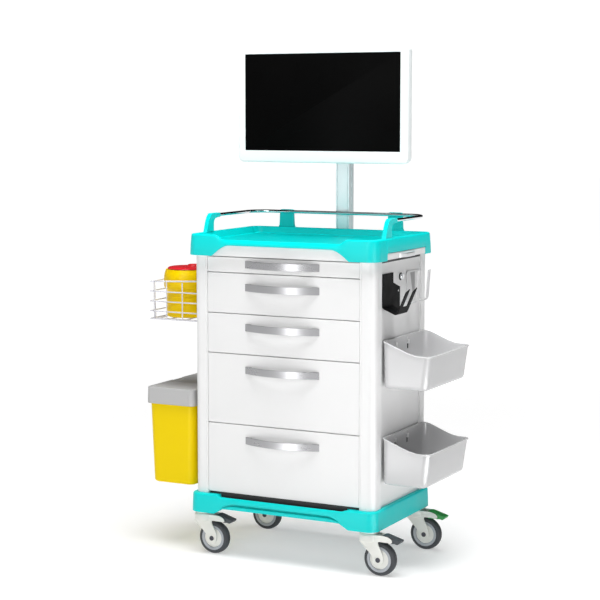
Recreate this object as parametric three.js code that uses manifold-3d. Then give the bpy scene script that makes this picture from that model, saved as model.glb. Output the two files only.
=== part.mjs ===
// Medication cart: a drawer cabinet on casters with a guard-railed worktop, a monitor on a
// pole, a sharps basket and a waste bin on the left, hooks and storage bins on the right.
// Millimetres. +X is the cart's right side, -Y its drawer front, +Z up, floor at z = 0.

import * as THREE from "three";
import { mergeVertices } from "three/addons/utils/BufferGeometryUtils.js";
import Module from "manifold-3d";

const wasm = await Module();
wasm.setup();

// ---------------------------------------------------------------- driving dimensions

const GAP = 0.35; // clearance kept between touching pieces
const SHEET = 2; // sheet metal

// Cabinet: four hollow corner columns with panels between them
const CABINET_X = 304; // outer face of the columns
const CABINET_Y = 193;
const COLUMN_WIDTH = 48;
const COLUMN_RADIUS = 25;
const COLUMN_WALL = 3;
const CABINET_BOTTOM = 192.3;
const CABINET_TOP = 925.7;
const PANEL_X = 298; // outer face of the recessed side panels
const BACK_PANEL_Y = 190;

// Base frame
const BASE_X = 316;
const BASE_Y = 212;
const BASE_RADIUS = 33;
const BASE_BOTTOM = 133;
const BASE_TOP = 192;
const BASE_WALL = 12;
const BASE_DECK = 172; // underside of the deck

// Worktop tray
const TRAY_X = 318;
const TRAY_FRONT = -215;
const TRAY_REAR = 215;
const TRAY_RADIUS = 36;
const TRAY_BOTTOM = 926;
const TRAY_TOP = 990;
const TRAY_FLOOR = 968;
const TRAY_WALL = 4;
const TRAY_RIM_SIDE = 23;
const TRAY_RIM_FRONT = 13;
const TRAY_DRAFT = 5; // how far the skirt leans in towards its top
const SHELF_Y = 4; // centre of the side shelf, front to back

// Drawers, from the top down: the lines between their fronts
const DRAWER_LINES = [923.4, 875.6, 752.1, 629.6, 414.3, 198.8];
const DRAWER_HALF = 255;
const DRAWER_FRONT_Y = -193;
const DRAWER_FRONT_DEPTH = 18;
const DRAWER_REVEAL = 1; // half the gap between two fronts
const DRAWER_BOX_HALF = 236;
const DRAWER_BACK_Y = 150;
const DRAWER_WALL = 3;
const RUNNER_HALF = 5; // half the height of a drawer's runner bar
const RUNNER_REACH = 254; // outer edge of the bars, which pass between the front columns
const RACK_X = 272; // outer face of the runner rack's plate
const HANDLE_TOPS = [913, 844, 723, 593.5, 378];
const HANDLE_HALF = 125;
const HANDLE_HEIGHT = 22;
const HANDLE_BOW = 30;

// Casters
const CASTER_X = 281.4;
const CASTER_Y = 171;
const CASTER_TRAIL = 35;
const WHEEL_RADIUS = 50;
const WHEEL_HALF_WIDTH = 15;
const AXLE_RADIUS = 5;
const HEAD_RADIUS = 32;
const HEAD_BOTTOM = 102;
const HEAD_TOP = 127;
const LEG_INNER = 17;
const LEG_OUTER = 21;
const PEDAL_PIVOT_X = 56;
const PEDAL_PIVOT_Z = 114;
const PEDAL_HALF_WIDTH = 15.5;

// Guard rail
const RAIL_Z = 1039;
const RAIL_RADIUS = 4.6;
const RAIL_X = 301;
const RAIL_REAR_Y = 196;
const RAIL_FRONT_Y = -88;
const RAIL_BEND = 60;
const POST_TOP = 1046;
const REAR_POST_X = 190;
const REAR_POST_HALF = 25;
const REAR_POST_FRONT = 198;
const REAR_POST_BACK = 209;

// Monitor and its pole
const POLE_HALF = 23;
const POLE_FRONT = 218;
const POLE_REAR = 252;
const POLE_BOTTOM = 560;
const POLE_TOP = 1500;
const MONITOR_X = 291;
const MONITOR_BOTTOM = 1200;
const MONITOR_TOP = 1558;
const MONITOR_FRONT = 64;
const MONITOR_BACK = 104;
const MONITOR_RADIUS = 20;
const SCREEN_HALF = 265.5;
const SCREEN_BOTTOM = 1236.6;
const SCREEN_TOP = 1535.4;
const ARM_Z = 1382;
const SWIVEL_Y = 156;
const TILT_Y = 126;

// Left side: sharps basket and waste bin
const BASKET = { x0: -480, x1: -305, y0: -160, y1: 27, z0: 714, z1: 834 };
const BASKET_UPRIGHTS_X = [-468, -423, -366];
const WIRE = 4;
const SHARPS_X = -396;
const SHARPS_Y = -72;
const SHARPS_RADIUS = 76;
const SHARPS_BODY = 67; // radius below the shoulder
const WASTE = { x0: -482, x1: -318.4, y0: -175, y1: 155, z0: 202, z1: 470 };
const WASTE_LID = { x0: -487, x1: -315, y0: -182, y1: 162, z0: 453, z1: 505 };
const WASTE_DRAFT = 7;
const WASTE_SEAM_X = -331; // between the lid and the fixed collar that carries its hinge
const WASTE_HINGE_Z = 505;
const WASTE_HINGE_YS = [-100, 80];

// Right side: storage bins and hooks
const BIN_BACK_X = 305;
const BIN_RIM_X = 458;
const BIN_FLOOR_X = 444;
const BIN_Y = 11; // centre of the bins, front to back
const BIN_RIM_HALF = 156;
const BIN_FLOOR_HALF = 152;
const BIN_BOTTOMS = { upper: 551, lower: 264 };
const BIN_BACK_HEIGHT = 140.5;
const BIN_FRONT_HEIGHT = 103.5;
const BIN_WALL = 3;
const BIN_HOOK_YS = [-54, 35];
const BIN_HOOK_HEIGHT = 118; // top of the hook bar above the bin's bottom

// ---------------------------------------------------------------- materials

function finish(color, roughness, metalness) {
  return new THREE.MeshStandardMaterial({ color, roughness, metalness, flatShading: true });
}

const MATERIALS = {
  turquoise: finish(0x20e2e0, 0.4, 0),
  cabinet: finish(0xf0f0f0, 0.45, 0.1),
  steel: finish(0xb8bcc0, 0.4, 0.9),
  brushed: finish(0xc9cacc, 0.35, 0.9),
  chrome: finish(0xdedede, 0.1, 1),
  aluminium: finish(0xc6cacc, 0.35, 0.85),
  monitor: finish(0xf4f8f8, 0.35, 0),
  screen: finish(0x050506, 0.1, 0),
  cream: finish(0xeeeee8, 0.4, 0),
  tyre: finish(0x4b4e52, 0.7, 0),
  pedal: finish(0x3c4146, 0.5, 0),
  greenPedal: finish(0x3ca050, 0.45, 0),
  white: finish(0xf2f2f2, 0.4, 0),
  yellow: finish(0xf3d70f, 0.4, 0),
  red: finish(0xe12d32, 0.4, 0),
  grey: finish(0xb4b4b4, 0.5, 0),
  binWhite: finish(0xe2e2e2, 0.4, 0),
  black: finish(0x1e1e1e, 0.5, 0),
};

// ---------------------------------------------------------------- solids

// A closed geometry as a solid: shared vertices merged, collapsed triangles dropped and
// the faces turned outwards.
function solid(geometry) {
  const bare = geometry.clone();
  bare.deleteAttribute("normal");
  bare.deleteAttribute("uv");
  const merged = mergeVertices(bare, 1e-4);
  const points = merged.attributes.position;
  const corners = merged.index.array;
  const kept = [];
  let volume = 0;
  const a = new THREE.Vector3();
  const b = new THREE.Vector3();
  const c = new THREE.Vector3();
  for (let i = 0; i < corners.length; i += 3) {
    const [p, q, r] = [corners[i], corners[i + 1], corners[i + 2]];
    if (p === q || q === r || r === p) continue;
    a.fromBufferAttribute(points, p);
    b.fromBufferAttribute(points, q);
    c.fromBufferAttribute(points, r);
    volume += a.dot(b.cross(c));
    kept.push([p, q, r]);
  }
  const outward = volume > 0 ? kept : kept.map(([p, q, r]) => [p, r, q]);
  const triVerts = new Uint32Array(outward.flat());
  const vertProperties = new Float32Array(points.array);
  return new wasm.Manifold(new wasm.Mesh({ numProp: 3, vertProperties, triVerts }));
}

function joined(...solids) {
  return solids.reduce((whole, piece) => whole.add(piece));
}

function cut(body, ...tools) {
  return tools.reduce((rest, tool) => rest.subtract(tool), body);
}

function box(x0, x1, y0, y1, z0, z1) {
  const geometry = new THREE.BoxGeometry(x1 - x0, y1 - y0, z1 - z0);
  return solid(geometry.translate((x0 + x1) / 2, (y0 + y1) / 2, (z0 + z1) / 2));
}

function extrusion(shape, depth, segments) {
  return new THREE.ExtrudeGeometry(shape, { depth, bevelEnabled: false, curveSegments: segments });
}

// A plan outline (x, y) raised from z0 to z1
function alongZ(shape, z0, z1, segments = 6) {
  return solid(extrusion(shape, z1 - z0, segments).translate(0, 0, z0));
}

// A side outline (y, z) carried from x0 to x1
function alongX(shape, x0, x1, segments = 6) {
  const turn = new THREE.Matrix4().set(0, 0, 1, x0, 1, 0, 0, 0, 0, 1, 0, 0, 0, 0, 0, 1);
  return solid(extrusion(shape, x1 - x0, segments).applyMatrix4(turn));
}

// A front outline (x, z) carried from y0 to y1
function alongY(shape, y0, y1, segments = 6) {
  const turn = new THREE.Matrix4().set(1, 0, 0, 0, 0, 0, -1, y1, 0, 1, 0, 0, 0, 0, 0, 1);
  return solid(extrusion(shape, y1 - y0, segments).applyMatrix4(turn));
}

function outline(points) {
  return new THREE.Shape(points.map(([u, v]) => new THREE.Vector2(u, v)));
}

function roundedRectangle(u0, u1, v0, v1, radius) {
  const shape = new THREE.Shape();
  shape.moveTo(u0 + radius, v0);
  shape.lineTo(u1 - radius, v0);
  shape.absarc(u1 - radius, v0 + radius, radius, -Math.PI / 2, 0);
  shape.lineTo(u1, v1 - radius);
  shape.absarc(u1 - radius, v1 - radius, radius, 0, Math.PI / 2);
  shape.lineTo(u0 + radius, v1);
  shape.absarc(u0 + radius, v1 - radius, radius, Math.PI / 2, Math.PI);
  shape.lineTo(u0, v0 + radius);
  shape.absarc(u0 + radius, v0 + radius, radius, Math.PI, 1.5 * Math.PI);
  return shape;
}

// A rounded rectangle raised from z0 to z1 whose top outline is drawn in by `draft`
function draftedBlock(x0, x1, y0, y1, radius, z0, z1, draft, segments = 6) {
  const geometry = extrusion(roundedRectangle(x0, x1, y0, y1, radius), z1 - z0, segments);
  geometry.translate(0, 0, z0);
  const points = geometry.attributes.position;
  const [middleX, middleY] = [(x0 + x1) / 2, (y0 + y1) / 2];
  for (let i = 0; i < points.count; i += 1) {
    const lean = (draft * (points.getZ(i) - z0)) / (z1 - z0);
    const [dx, dy] = [points.getX(i) - middleX, points.getY(i) - middleY];
    points.setX(i, middleX + dx * (1 - (2 * lean) / (x1 - x0)));
    points.setY(i, middleY + dy * (1 - (2 * lean) / (y1 - y0)));
  }
  return solid(geometry);
}

// A round bar along one axis, from `from` to `to`, its centre line at (u, v) on the two
// other axes in x, y, z order
function bar(axis, from, to, u, v, radius, segments = 12) {
  const geometry = new THREE.CylinderGeometry(radius, radius, to - from, segments);
  const middle = (from + to) / 2;
  if (axis === "x") return solid(geometry.rotateZ(-Math.PI / 2).translate(middle, u, v));
  if (axis === "y") return solid(geometry.translate(u, middle, v));
  return solid(geometry.rotateX(Math.PI / 2).translate(u, v, middle));
}

// A profile of [radius, height] points turned about the vertical axis
function turned(profile, segments) {
  const points = profile.map(([radius, height]) => new THREE.Vector2(radius, height));
  return new THREE.LatheGeometry(points, segments).rotateX(Math.PI / 2);
}

// The outline of a bent strip: a line of points with even thickness on both sides
function strip(points, thickness) {
  const line = points.map(([u, v]) => new THREE.Vector2(u, v));
  const normals = line.map((point, i) => {
    const before = line[Math.max(i - 1, 0)];
    const after = line[Math.min(i + 1, line.length - 1)];
    const along = after.clone().sub(before).normalize();
    return new THREE.Vector2(-along.y, along.x).multiplyScalar(thickness / 2);
  });
  const left = line.map((point, i) => point.clone().add(normals[i]));
  const right = line.map((point, i) => point.clone().sub(normals[i]));
  return new THREE.Shape([...left, ...right.reverse()]);
}

// Points of a circular arc, angles in degrees
function arc(u, v, radius, from, to, steps) {
  return Array.from({ length: steps + 1 }, (_, i) => {
    const angle = THREE.MathUtils.degToRad(from + ((to - from) * i) / steps);
    return [u + radius * Math.cos(angle), v + radius * Math.sin(angle)];
  });
}

const cart = new THREE.Group();

function add(name, body, material) {
  const { vertProperties, triVerts } = body.getMesh();
  const geometry = new THREE.BufferGeometry();
  geometry.setAttribute("position", new THREE.BufferAttribute(vertProperties, 3));
  geometry.setIndex(new THREE.BufferAttribute(triVerts, 1));
  geometry.computeVertexNormals();
  const mesh = new THREE.Mesh(geometry, material);
  mesh.name = name;
  cart.add(mesh);
}

// The same solid on the other side of the cart
function mirroredX(body) {
  return body.mirror([1, 0, 0]);
}

// ---------------------------------------------------------------- base frame

function baseFrame() {
  const block = draftedBlock(-BASE_X, BASE_X, -BASE_Y, BASE_Y, BASE_RADIUS, BASE_BOTTOM, BASE_TOP, 3);
  const inX = BASE_X - BASE_WALL;
  const inY = BASE_Y - BASE_WALL;
  const hollow = alongZ(roundedRectangle(-inX, inX, -inY, inY, 22), BASE_BOTTOM - 1, BASE_DECK);
  let frame = block.subtract(hollow);
  const socket = 44;
  for (const sx of [-1, 1]) {
    for (const sy of [-1, 1]) {
      const [x, y] = [sx * (CASTER_X - 16), sy * (CASTER_Y - 10)];
      const boss = bar("z", BASE_BOTTOM, BASE_DECK + 2, x, y, socket, 14);
      frame = frame.add(boss.intersect(block));
      frame = frame.subtract(bar("z", BASE_BOTTOM - 1, 168, sx * CASTER_X, sy * CASTER_Y, 8.4));
    }
  }
  // The front skirt is shallower between the corners, with a scooped band below its edge
  const skirtCut = outline([[-228, 132], [-198, 150], [198, 150], [228, 132]]);
  const scoop = new THREE.Shape();
  scoop.moveTo(-206, 145);
  scoop.bezierCurveTo(-190, 158, -180, 167, -150, 167);
  scoop.lineTo(150, 167);
  scoop.bezierCurveTo(180, 167, 190, 158, 206, 145);
  const dip = outline([[-222, 193], [-204, 182], [204, 182], [222, 193]]);
  return cut(
    frame,
    alongY(skirtCut, -BASE_Y - 1, -BASE_Y + BASE_WALL + 1),
    alongY(scoop, -BASE_Y - 1, -BASE_Y + 7),
    alongY(dip, -BASE_Y - 1, -BASE_Y + 26),
  );
}

// ---------------------------------------------------------------- cabinet

// One corner column, drawn for the front right corner and mirrored to the others
function column(sideX, sideY) {
  const section = (inset) => {
    const x0 = CABINET_X - COLUMN_WIDTH + inset;
    const x1 = CABINET_X - inset;
    const y0 = -CABINET_Y + inset;
    const y1 = -CABINET_Y + COLUMN_WIDTH - inset;
    const radius = COLUMN_RADIUS - inset;
    const shape = new THREE.Shape();
    shape.moveTo(x0, y0);
    shape.lineTo(x1 - radius, y0);
    shape.absarc(x1 - radius, y0 + radius, radius, -Math.PI / 2, 0);
    shape.lineTo(x1, y1);
    shape.lineTo(x0, y1);
    return shape;
  };
  let body = alongZ(section(0), CABINET_BOTTOM, CABINET_TOP, 8);
  body = body.subtract(alongZ(section(COLUMN_WALL), CABINET_BOTTOM - 1, CABINET_TOP + 1, 8));
  if (sideX < 0) body = mirroredX(body);
  if (sideY > 0) body = body.mirror([0, 1, 0]);
  return body;
}

// A hook that a bin or basket hangs on: a bar out of the panel with a turned-up tip
function panelHook(y, top, reach) {
  const stem = box(PANEL_X - 1, PANEL_X + reach, y - 3, y + 3, top - 5, top);
  const tip = box(PANEL_X + reach - 3, PANEL_X + reach, y - 3, y + 3, top - 5, top + 8);
  return stem.add(tip);
}

// A recessed side panel with folded edges behind it
function sidePanel() {
  const y0 = -CABINET_Y + COLUMN_WIDTH + GAP;
  const y1 = CABINET_Y - COLUMN_WIDTH - GAP;
  const [z0, z1] = [CABINET_BOTTOM, CABINET_TOP];
  return joined(
    box(PANEL_X - SHEET, PANEL_X, y0, y1, z0, z1),
    box(PANEL_X - 18, PANEL_X - 1, y0, y0 + SHEET, z0, z1),
    box(PANEL_X - 18, PANEL_X - 1, y1 - SHEET, y1, z0, z1),
  );
}

function rightPanel() {
  let panel = sidePanel();
  for (const bottom of Object.values(BIN_BOTTOMS)) {
    for (const y of BIN_HOOK_YS) {
      panel = panel.add(panelHook(y, bottom + BIN_HOOK_HEIGHT, BIN_BACK_X - PANEL_X + 8));
    }
  }
  return panel.subtract(bar("x", PANEL_X - 5, PANEL_X + 5, 0, 869, 7.4));
}

function leftPanel() {
  let panel = sidePanel();
  for (const y of [-95, -50]) {
    panel = panel.add(panelHook(y, BASKET.z1 - WIRE - GAP, 15));
  }
  // Shelf bracket with an upturned lip that the waste bin's rear rib drops over
  const shelf = box(PANEL_X - 1, 314, -80, 60, 426, 429);
  const lip = box(311, 314, -80, 60, 427, 441);
  return mirroredX(joined(panel, shelf, lip));
}

// A steel sheet behind the drawers with a folded edge at top and bottom
function backPanel() {
  const half = CABINET_X - COLUMN_WIDTH - GAP;
  const [z0, z1] = [CABINET_BOTTOM, CABINET_TOP];
  return joined(
    box(-half, half, BACK_PANEL_Y - SHEET, BACK_PANEL_Y, z0, z1),
    box(-half, half, BACK_PANEL_Y - 16, BACK_PANEL_Y - 1, z0, z0 + SHEET),
    box(-half, half, BACK_PANEL_Y - 16, BACK_PANEL_Y - 1, z1 - SHEET, z1),
  );
}

// The sheet over the cabinet, folded up at the front into the fascia behind the worktop's
// arch, with two guides for the side shelf
function frontFascia() {
  const z0 = CABINET_TOP + GAP;
  const deck = box(-298, 298, -204, 198, z0, z0 + SHEET);
  const upstand = box(-270, 270, -206, -203, z0, 963);
  const guides = [-1, 1].map((side) => {
    const edge = SHELF_Y + side * 139;
    return box(40, 298, Math.min(edge, edge + side * 3), Math.max(edge, edge + side * 3), z0 + 1, 947);
  });
  return joined(deck, upstand, ...guides);
}

// A plate with one C-shaped channel for each drawer, drawn for the right side
function runnerRack(side) {
  const plateIn = RACK_X - SHEET;
  let rack = box(plateIn, RACK_X, -140, 138, CABINET_BOTTOM + 2, CABINET_TOP - 2);
  rack = rack.add(box(plateIn, PANEL_X - SHEET - GAP, -60, -58, 300, 860));
  rack = rack.add(box(plateIn, PANEL_X - SHEET - GAP, 58, 60, 300, 860));
  for (let i = 0; i < 5; i += 1) {
    const z = runnerHeight(i);
    const reach = DRAWER_BOX_HALF + 2;
    const gap = RUNNER_HALF + 1;
    rack = rack.add(box(reach, plateIn + 1, -142, 140, z + gap, z + gap + SHEET));
    rack = rack.add(box(reach, plateIn + 1, -142, 140, z - gap - SHEET, z - gap));
  }
  return side < 0 ? mirroredX(rack) : rack;
}

// ---------------------------------------------------------------- drawers

function drawerExtent(i) {
  return [DRAWER_LINES[i + 1] + DRAWER_REVEAL, DRAWER_LINES[i] - DRAWER_REVEAL];
}

function runnerHeight(i) {
  const [bottom, top] = drawerExtent(i);
  return bottom + Math.max(18, (top - bottom) * 0.42);
}

function drawer(i) {
  const [bottom, top] = drawerExtent(i);
  const frontBack = DRAWER_FRONT_Y + DRAWER_FRONT_DEPTH;
  const boxBottom = bottom + 6;
  const boxTop = top - (top - bottom > 100 ? 26 : 8);
  const front = box(-DRAWER_HALF, DRAWER_HALF, DRAWER_FRONT_Y, frontBack, bottom, top);
  const outer = alongZ(
    roundedRectangle(-DRAWER_BOX_HALF, DRAWER_BOX_HALF, frontBack - 2, DRAWER_BACK_Y, 10),
    boxBottom,
    boxTop,
    3,
  );
  const inHalf = DRAWER_BOX_HALF - DRAWER_WALL;
  const inner = alongZ(
    roundedRectangle(-inHalf, inHalf, frontBack + 1, DRAWER_BACK_Y - DRAWER_WALL, 8),
    boxBottom + DRAWER_WALL,
    boxTop + 1,
    3,
  );
  const z = runnerHeight(i);
  const runners = [-1, 1].map((side) => {
    const [x0, x1] = [side * (DRAWER_BOX_HALF - 1), side * RUNNER_REACH].sort((a, b) => a - b);
    return box(x0, x1, -138, DRAWER_BACK_Y - 10, z - RUNNER_HALF, z + RUNNER_HALF);
  });
  return joined(cut(joined(outer, front), inner), ...runners);
}

// A flat strip bowed out from the drawer front, solid at both ends where it is fixed
function drawerHandle(i) {
  const top = HANDLE_TOPS[i];
  const radius = (HANDLE_HALF ** 2 + HANDLE_BOW ** 2) / (2 * HANDLE_BOW);
  const face = DRAWER_FRONT_Y - GAP;
  const centre = face - HANDLE_BOW + radius;
  const foot = HANDLE_HALF - 22;
  const spread = (halfWidth) => THREE.MathUtils.radToDeg(Math.asin(halfWidth / radius));
  const outside = arc(0, centre, radius, -90 - spread(HANDLE_HALF), -90 + spread(HANDLE_HALF), 12);
  const inside = arc(0, centre, radius - 3, -90 + spread(foot), -90 - spread(foot), 10);
  const shape = outline([...outside, [foot, face], ...inside, [-foot, face]]);
  return alongZ(shape, top - HANDLE_HEIGHT, top);
}

// ---------------------------------------------------------------- casters

// Fixed part: a threaded stem in the base, a flange under it and a swivel pin below
function casterStem(x, y) {
  const profile = [[0, 106], [7, 106], [7, 127.5], [30, 127.5], [30, 132.6], [8, 132.6], [8, 166], [0, 166]];
  return solid(turned(profile, 12).translate(x, y, 0));
}

// Swivelling part: a round head with two legs that carry the axle and the pedal's pivot
function casterFork(x, y) {
  const head = turned(
    [
      [7.4, HEAD_BOTTOM], [HEAD_RADIUS, HEAD_BOTTOM], [HEAD_RADIUS, HEAD_TOP], [7.4, HEAD_TOP],
      [7.4, HEAD_BOTTOM],
    ],
    18,
  );
  const leg = new THREE.Shape();
  leg.moveTo(-25, 124);
  leg.lineTo(-25.5, HEAD_BOTTOM);
  leg.lineTo(-4.5, 81);
  leg.lineTo(7.7, 67.6);
  leg.absarc(CASTER_TRAIL, WHEEL_RADIUS, 17, -Math.PI, 0);
  leg.lineTo(52, 63.6);
  leg.lineTo(46, 76);
  leg.lineTo(36, 95);
  leg.lineTo(36, 105);
  leg.lineTo(68, 104.5);
  leg.lineTo(76, 103);
  leg.lineTo(79.5, 108);
  leg.lineTo(79, 112);
  leg.lineTo(75, 117);
  leg.lineTo(65, 121);
  leg.lineTo(52, 123.5);
  const legs = [-1, 1].map((side) => {
    const [y0, y1] = [side * LEG_INNER, side * LEG_OUTER].sort((a, b) => a - b);
    return alongY(leg, y0, y1, 5);
  });
  const axle = bar("y", -LEG_INNER - 1, LEG_INNER + 1, CASTER_TRAIL, WHEEL_RADIUS, AXLE_RADIUS);
  const pivot = bar("y", -LEG_INNER - 1, LEG_INNER + 1, PEDAL_PIVOT_X, PEDAL_PIVOT_Z, 2.5, 12);
  return joined(solid(head), ...legs, axle, pivot).translate([x, y, 0]);
}

function casterWheel(x, y) {
  const half = WHEEL_HALF_WIDTH;
  const side = [
    [AXLE_RADIUS + GAP, half + 1],
    [14, half + 1],
    [18, half - 2],
    [43, half - 2],
    [46, half],
    [WHEEL_RADIUS, half - 6],
  ];
  const mirrored = side.map(([radius, height]) => [radius, -height]).reverse();
  const wheel = turned([...side, ...mirrored, side[0]], 20).rotateX(Math.PI / 2);
  return solid(wheel.translate(x + CASTER_TRAIL, y, WHEEL_RADIUS));
}

function brakePedal(x, y) {
  const [px, pz] = [PEDAL_PIVOT_X, PEDAL_PIVOT_Z];
  const lever = outline([
    [px - 15, 112], [px - 15, 118], [px - 10, 124], [px - 2, 125.5], [100, 112], [103, 110],
    [101, 106], [93, 101], [84, 103], [78, 102], [px, 102], [px - 8, 101], [px - 11, 106],
  ]);
  const bore = bar("y", -20, 20, px, pz, 2.5 + GAP, 12);
  return alongY(lever, -PEDAL_HALF_WIDTH, PEDAL_HALF_WIDTH).subtract(bore).translate([x, y, 0]);
}

// ---------------------------------------------------------------- worktop

function topTray() {
  const block = draftedBlock(
    -TRAY_X, TRAY_X, TRAY_FRONT, TRAY_REAR, TRAY_RADIUS, TRAY_BOTTOM, TRAY_TOP, TRAY_DRAFT,
  );
  const wall = TRAY_WALL + 1;
  const underside = draftedBlock(
    -TRAY_X + wall, TRAY_X - wall, TRAY_FRONT + wall, TRAY_REAR - wall,
    TRAY_RADIUS - wall, TRAY_BOTTOM - 1, TRAY_FLOOR - TRAY_WALL, 3,
  );
  const recess = alongZ(
    roundedRectangle(
      -TRAY_X + TRAY_RIM_SIDE, TRAY_X - TRAY_RIM_SIDE,
      TRAY_FRONT + TRAY_RIM_FRONT, TRAY_REAR - TRAY_RIM_SIDE, 26,
    ),
    TRAY_FLOOR,
    TRAY_TOP + 1,
  );
  const arch = new THREE.Shape();
  arch.moveTo(-229, TRAY_BOTTOM - 1);
  arch.bezierCurveTo(-205, 940, -200, 959, -165, 959);
  arch.lineTo(165, 959);
  arch.bezierCurveTo(200, 959, 205, 940, 229, TRAY_BOTTOM - 1);
  const lipDip = outline([[-222, TRAY_TOP + 1], [-196, 976], [196, 976], [222, TRAY_TOP + 1]]);
  return cut(
    block,
    underside,
    recess,
    alongY(arch, TRAY_FRONT - 1, TRAY_FRONT + wall + 4),
    alongY(lipDip, TRAY_FRONT - 1, TRAY_FRONT + TRAY_RIM_FRONT + 8),
    box(TRAY_X - 12, TRAY_X + 1, SHELF_Y - 140.5, SHELF_Y + 140.5, TRAY_BOTTOM - 1, 948),
  );
}

function sideShelf() {
  const z0 = CABINET_TOP + GAP + SHEET + GAP + 1;
  const board = box(60, 312, SHELF_Y - 138, SHELF_Y + 138, z0, z0 + 10);
  const front = box(311, 317, SHELF_Y - 139.5, SHELF_Y + 139.5, z0 - 1, 947);
  return board.add(front);
}

function sideShelfHandle() {
  const profile = [[317.35, -55], [326, -50], [330, -34], [330, 34], [326, 50], [317.35, 55]];
  const body = alongZ(outline(profile), 930, 943);
  const grip = alongZ(outline([[316, -46], [326, -32], [326, 32], [316, 46]]), 929, 939);
  return body.subtract(grip).translate([0, SHELF_Y, 0]);
}

// A U of tube round the back of the worktop, its ends in the front posts
function guardRail() {
  const v = (x, y) => new THREE.Vector3(x, y, RAIL_Z);
  const [x, rear, bend] = [RAIL_X, RAIL_REAR_Y, RAIL_BEND];
  const side = new THREE.CylinderGeometry(RAIL_RADIUS, RAIL_RADIUS, rear - bend - RAIL_FRONT_Y, 10);
  const sides = [-1, 1].map((s) => {
    return solid(side.clone().translate(s * x, (RAIL_FRONT_Y + rear - bend) / 2, RAIL_Z));
  });
  const ring = [];
  for (let i = 0; i <= 6; i += 1) {
    const angle = Math.PI - (i * Math.PI) / 12;
    ring.push(v(-x + bend + bend * Math.cos(angle), rear - bend + bend * Math.sin(angle)));
  }
  const corner = new THREE.ExtrudeGeometry(circle(RAIL_RADIUS, 10), {
    steps: 8,
    bevelEnabled: false,
    extrudePath: new THREE.CatmullRomCurve3([v(-x, rear - bend - 6), ...ring, v(-x + bend + 6, rear)]),
  });
  const left = solid(corner);
  const back = solid(
    new THREE.CylinderGeometry(RAIL_RADIUS, RAIL_RADIUS, 2 * (x - bend), 10)
      .rotateZ(Math.PI / 2).translate(0, rear, RAIL_Z),
  );
  return joined(...sides, left, mirroredX(left), back);
}

function circle(radius, segments) {
  return outline(arc(0, 0, radius, 0, 360 - 360 / segments, segments - 1));
}

// A leaning fin on the side rim; the rail's end sits in its blind bore
function frontPost(side) {
  const fin = outline([
    [-127, TRAY_TOP + GAP], [-113, 1024], [-102, 1040], [-92, POST_TOP], [-47, POST_TOP],
    [-45, 1033], [-78, 1031], [-85, 1024], [-85, TRAY_TOP + GAP],
  ]);
  const body = alongX(fin, RAIL_X - 7, RAIL_X + 7);
  const post = body.subtract(bar("y", RAIL_FRONT_Y - 1, 0, RAIL_X, RAIL_Z, RAIL_RADIUS + GAP, 10));
  return side < 0 ? mirroredX(post) : post;
}

function rearPost(side) {
  const [x0, x1] = [REAR_POST_X - REAR_POST_HALF, REAR_POST_X + REAR_POST_HALF];
  const plate = outline([[x0 - 4, TRAY_TOP + GAP], [x0, 1002], [x0 + 2, POST_TOP], [x1 - 2, POST_TOP],
    [x1, 1002], [x1 + 4, TRAY_TOP + GAP]]);
  const body = alongY(plate, REAR_POST_FRONT, REAR_POST_BACK);
  const post = body.subtract(bar("x", x0 - 10, x1 + 10, RAIL_REAR_Y, RAIL_Z, RAIL_RADIUS + GAP, 10));
  return side < 0 ? mirroredX(post) : post;
}

// ---------------------------------------------------------------- monitor

function monitorPole() {
  const [w, mid] = [POLE_HALF, (POLE_FRONT + POLE_REAR) / 2];
  const depth = (POLE_REAR - POLE_FRONT) / 2;
  const groove = 4;
  const deep = 3;
  let pole = alongZ(roundedRectangle(-w, w, POLE_FRONT, POLE_REAR, 3), POLE_BOTTOM, POLE_TOP - 4, 3);
  for (const x of [-10, 10]) {
    for (const side of [-1, 1]) {
      const y = mid + side * depth;
      pole = pole.subtract(box(x - groove, x + groove, y - deep, y + deep, POLE_BOTTOM - 1, POLE_TOP));
    }
  }
  for (const x of [-w, w]) {
    pole = pole.subtract(box(x - deep, x + deep, mid - groove, mid + groove, POLE_BOTTOM - 1, POLE_TOP));
  }
  const cap = alongZ(roundedRectangle(-w, w, POLE_FRONT, POLE_REAR, 3), POLE_TOP - 5, POLE_TOP, 3);
  const brackets = [640, 860].map((z) => joined(
    box(-62, 62, BACK_PANEL_Y + GAP, BACK_PANEL_Y + 6, z - 22, z + 22),
    box(-18, 18, BACK_PANEL_Y + 5, POLE_FRONT + 6, z - 22, z + 22),
  ));
  return joined(pole, cap, ...brackets);
}

function monitorCarriage() {
  const clear = 0.6;
  const block = alongZ(roundedRectangle(-35, 35, 205, 266, 8), ARM_Z - 34, ARM_Z + 34, 3);
  const around = box(
    -POLE_HALF - clear, POLE_HALF + clear, POLE_FRONT - clear, POLE_REAR + clear, ARM_Z - 40, ARM_Z + 40,
  );
  const arm = box(-17, 17, SWIVEL_Y, 210, ARM_Z - 22, ARM_Z - 12);
  const eye = bar("z", ARM_Z - 22, ARM_Z - 12, 0, SWIVEL_Y, 19, 16);
  const pin = bar("z", ARM_Z - 14, ARM_Z + 10, 0, SWIVEL_Y, 6);
  return joined(cut(block, around), arm, eye, pin);
}

function monitorTiltHead() {
  const hub = bar("z", ARM_Z - 12 + GAP, ARM_Z + 12, 0, SWIVEL_Y, 19, 16);
  const neck = box(-13, 13, TILT_Y, SWIVEL_Y, ARM_Z - 11, ARM_Z + 11);
  const nose = bar("x", -13, 13, TILT_Y, ARM_Z, 11, 14);
  const crossPin = bar("x", -32, 32, TILT_Y, ARM_Z, 5);
  return cut(joined(hub, neck, nose), bar("z", ARM_Z - 20, ARM_Z + 20, 0, SWIVEL_Y, 6 + GAP)).add(crossPin);
}

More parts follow.
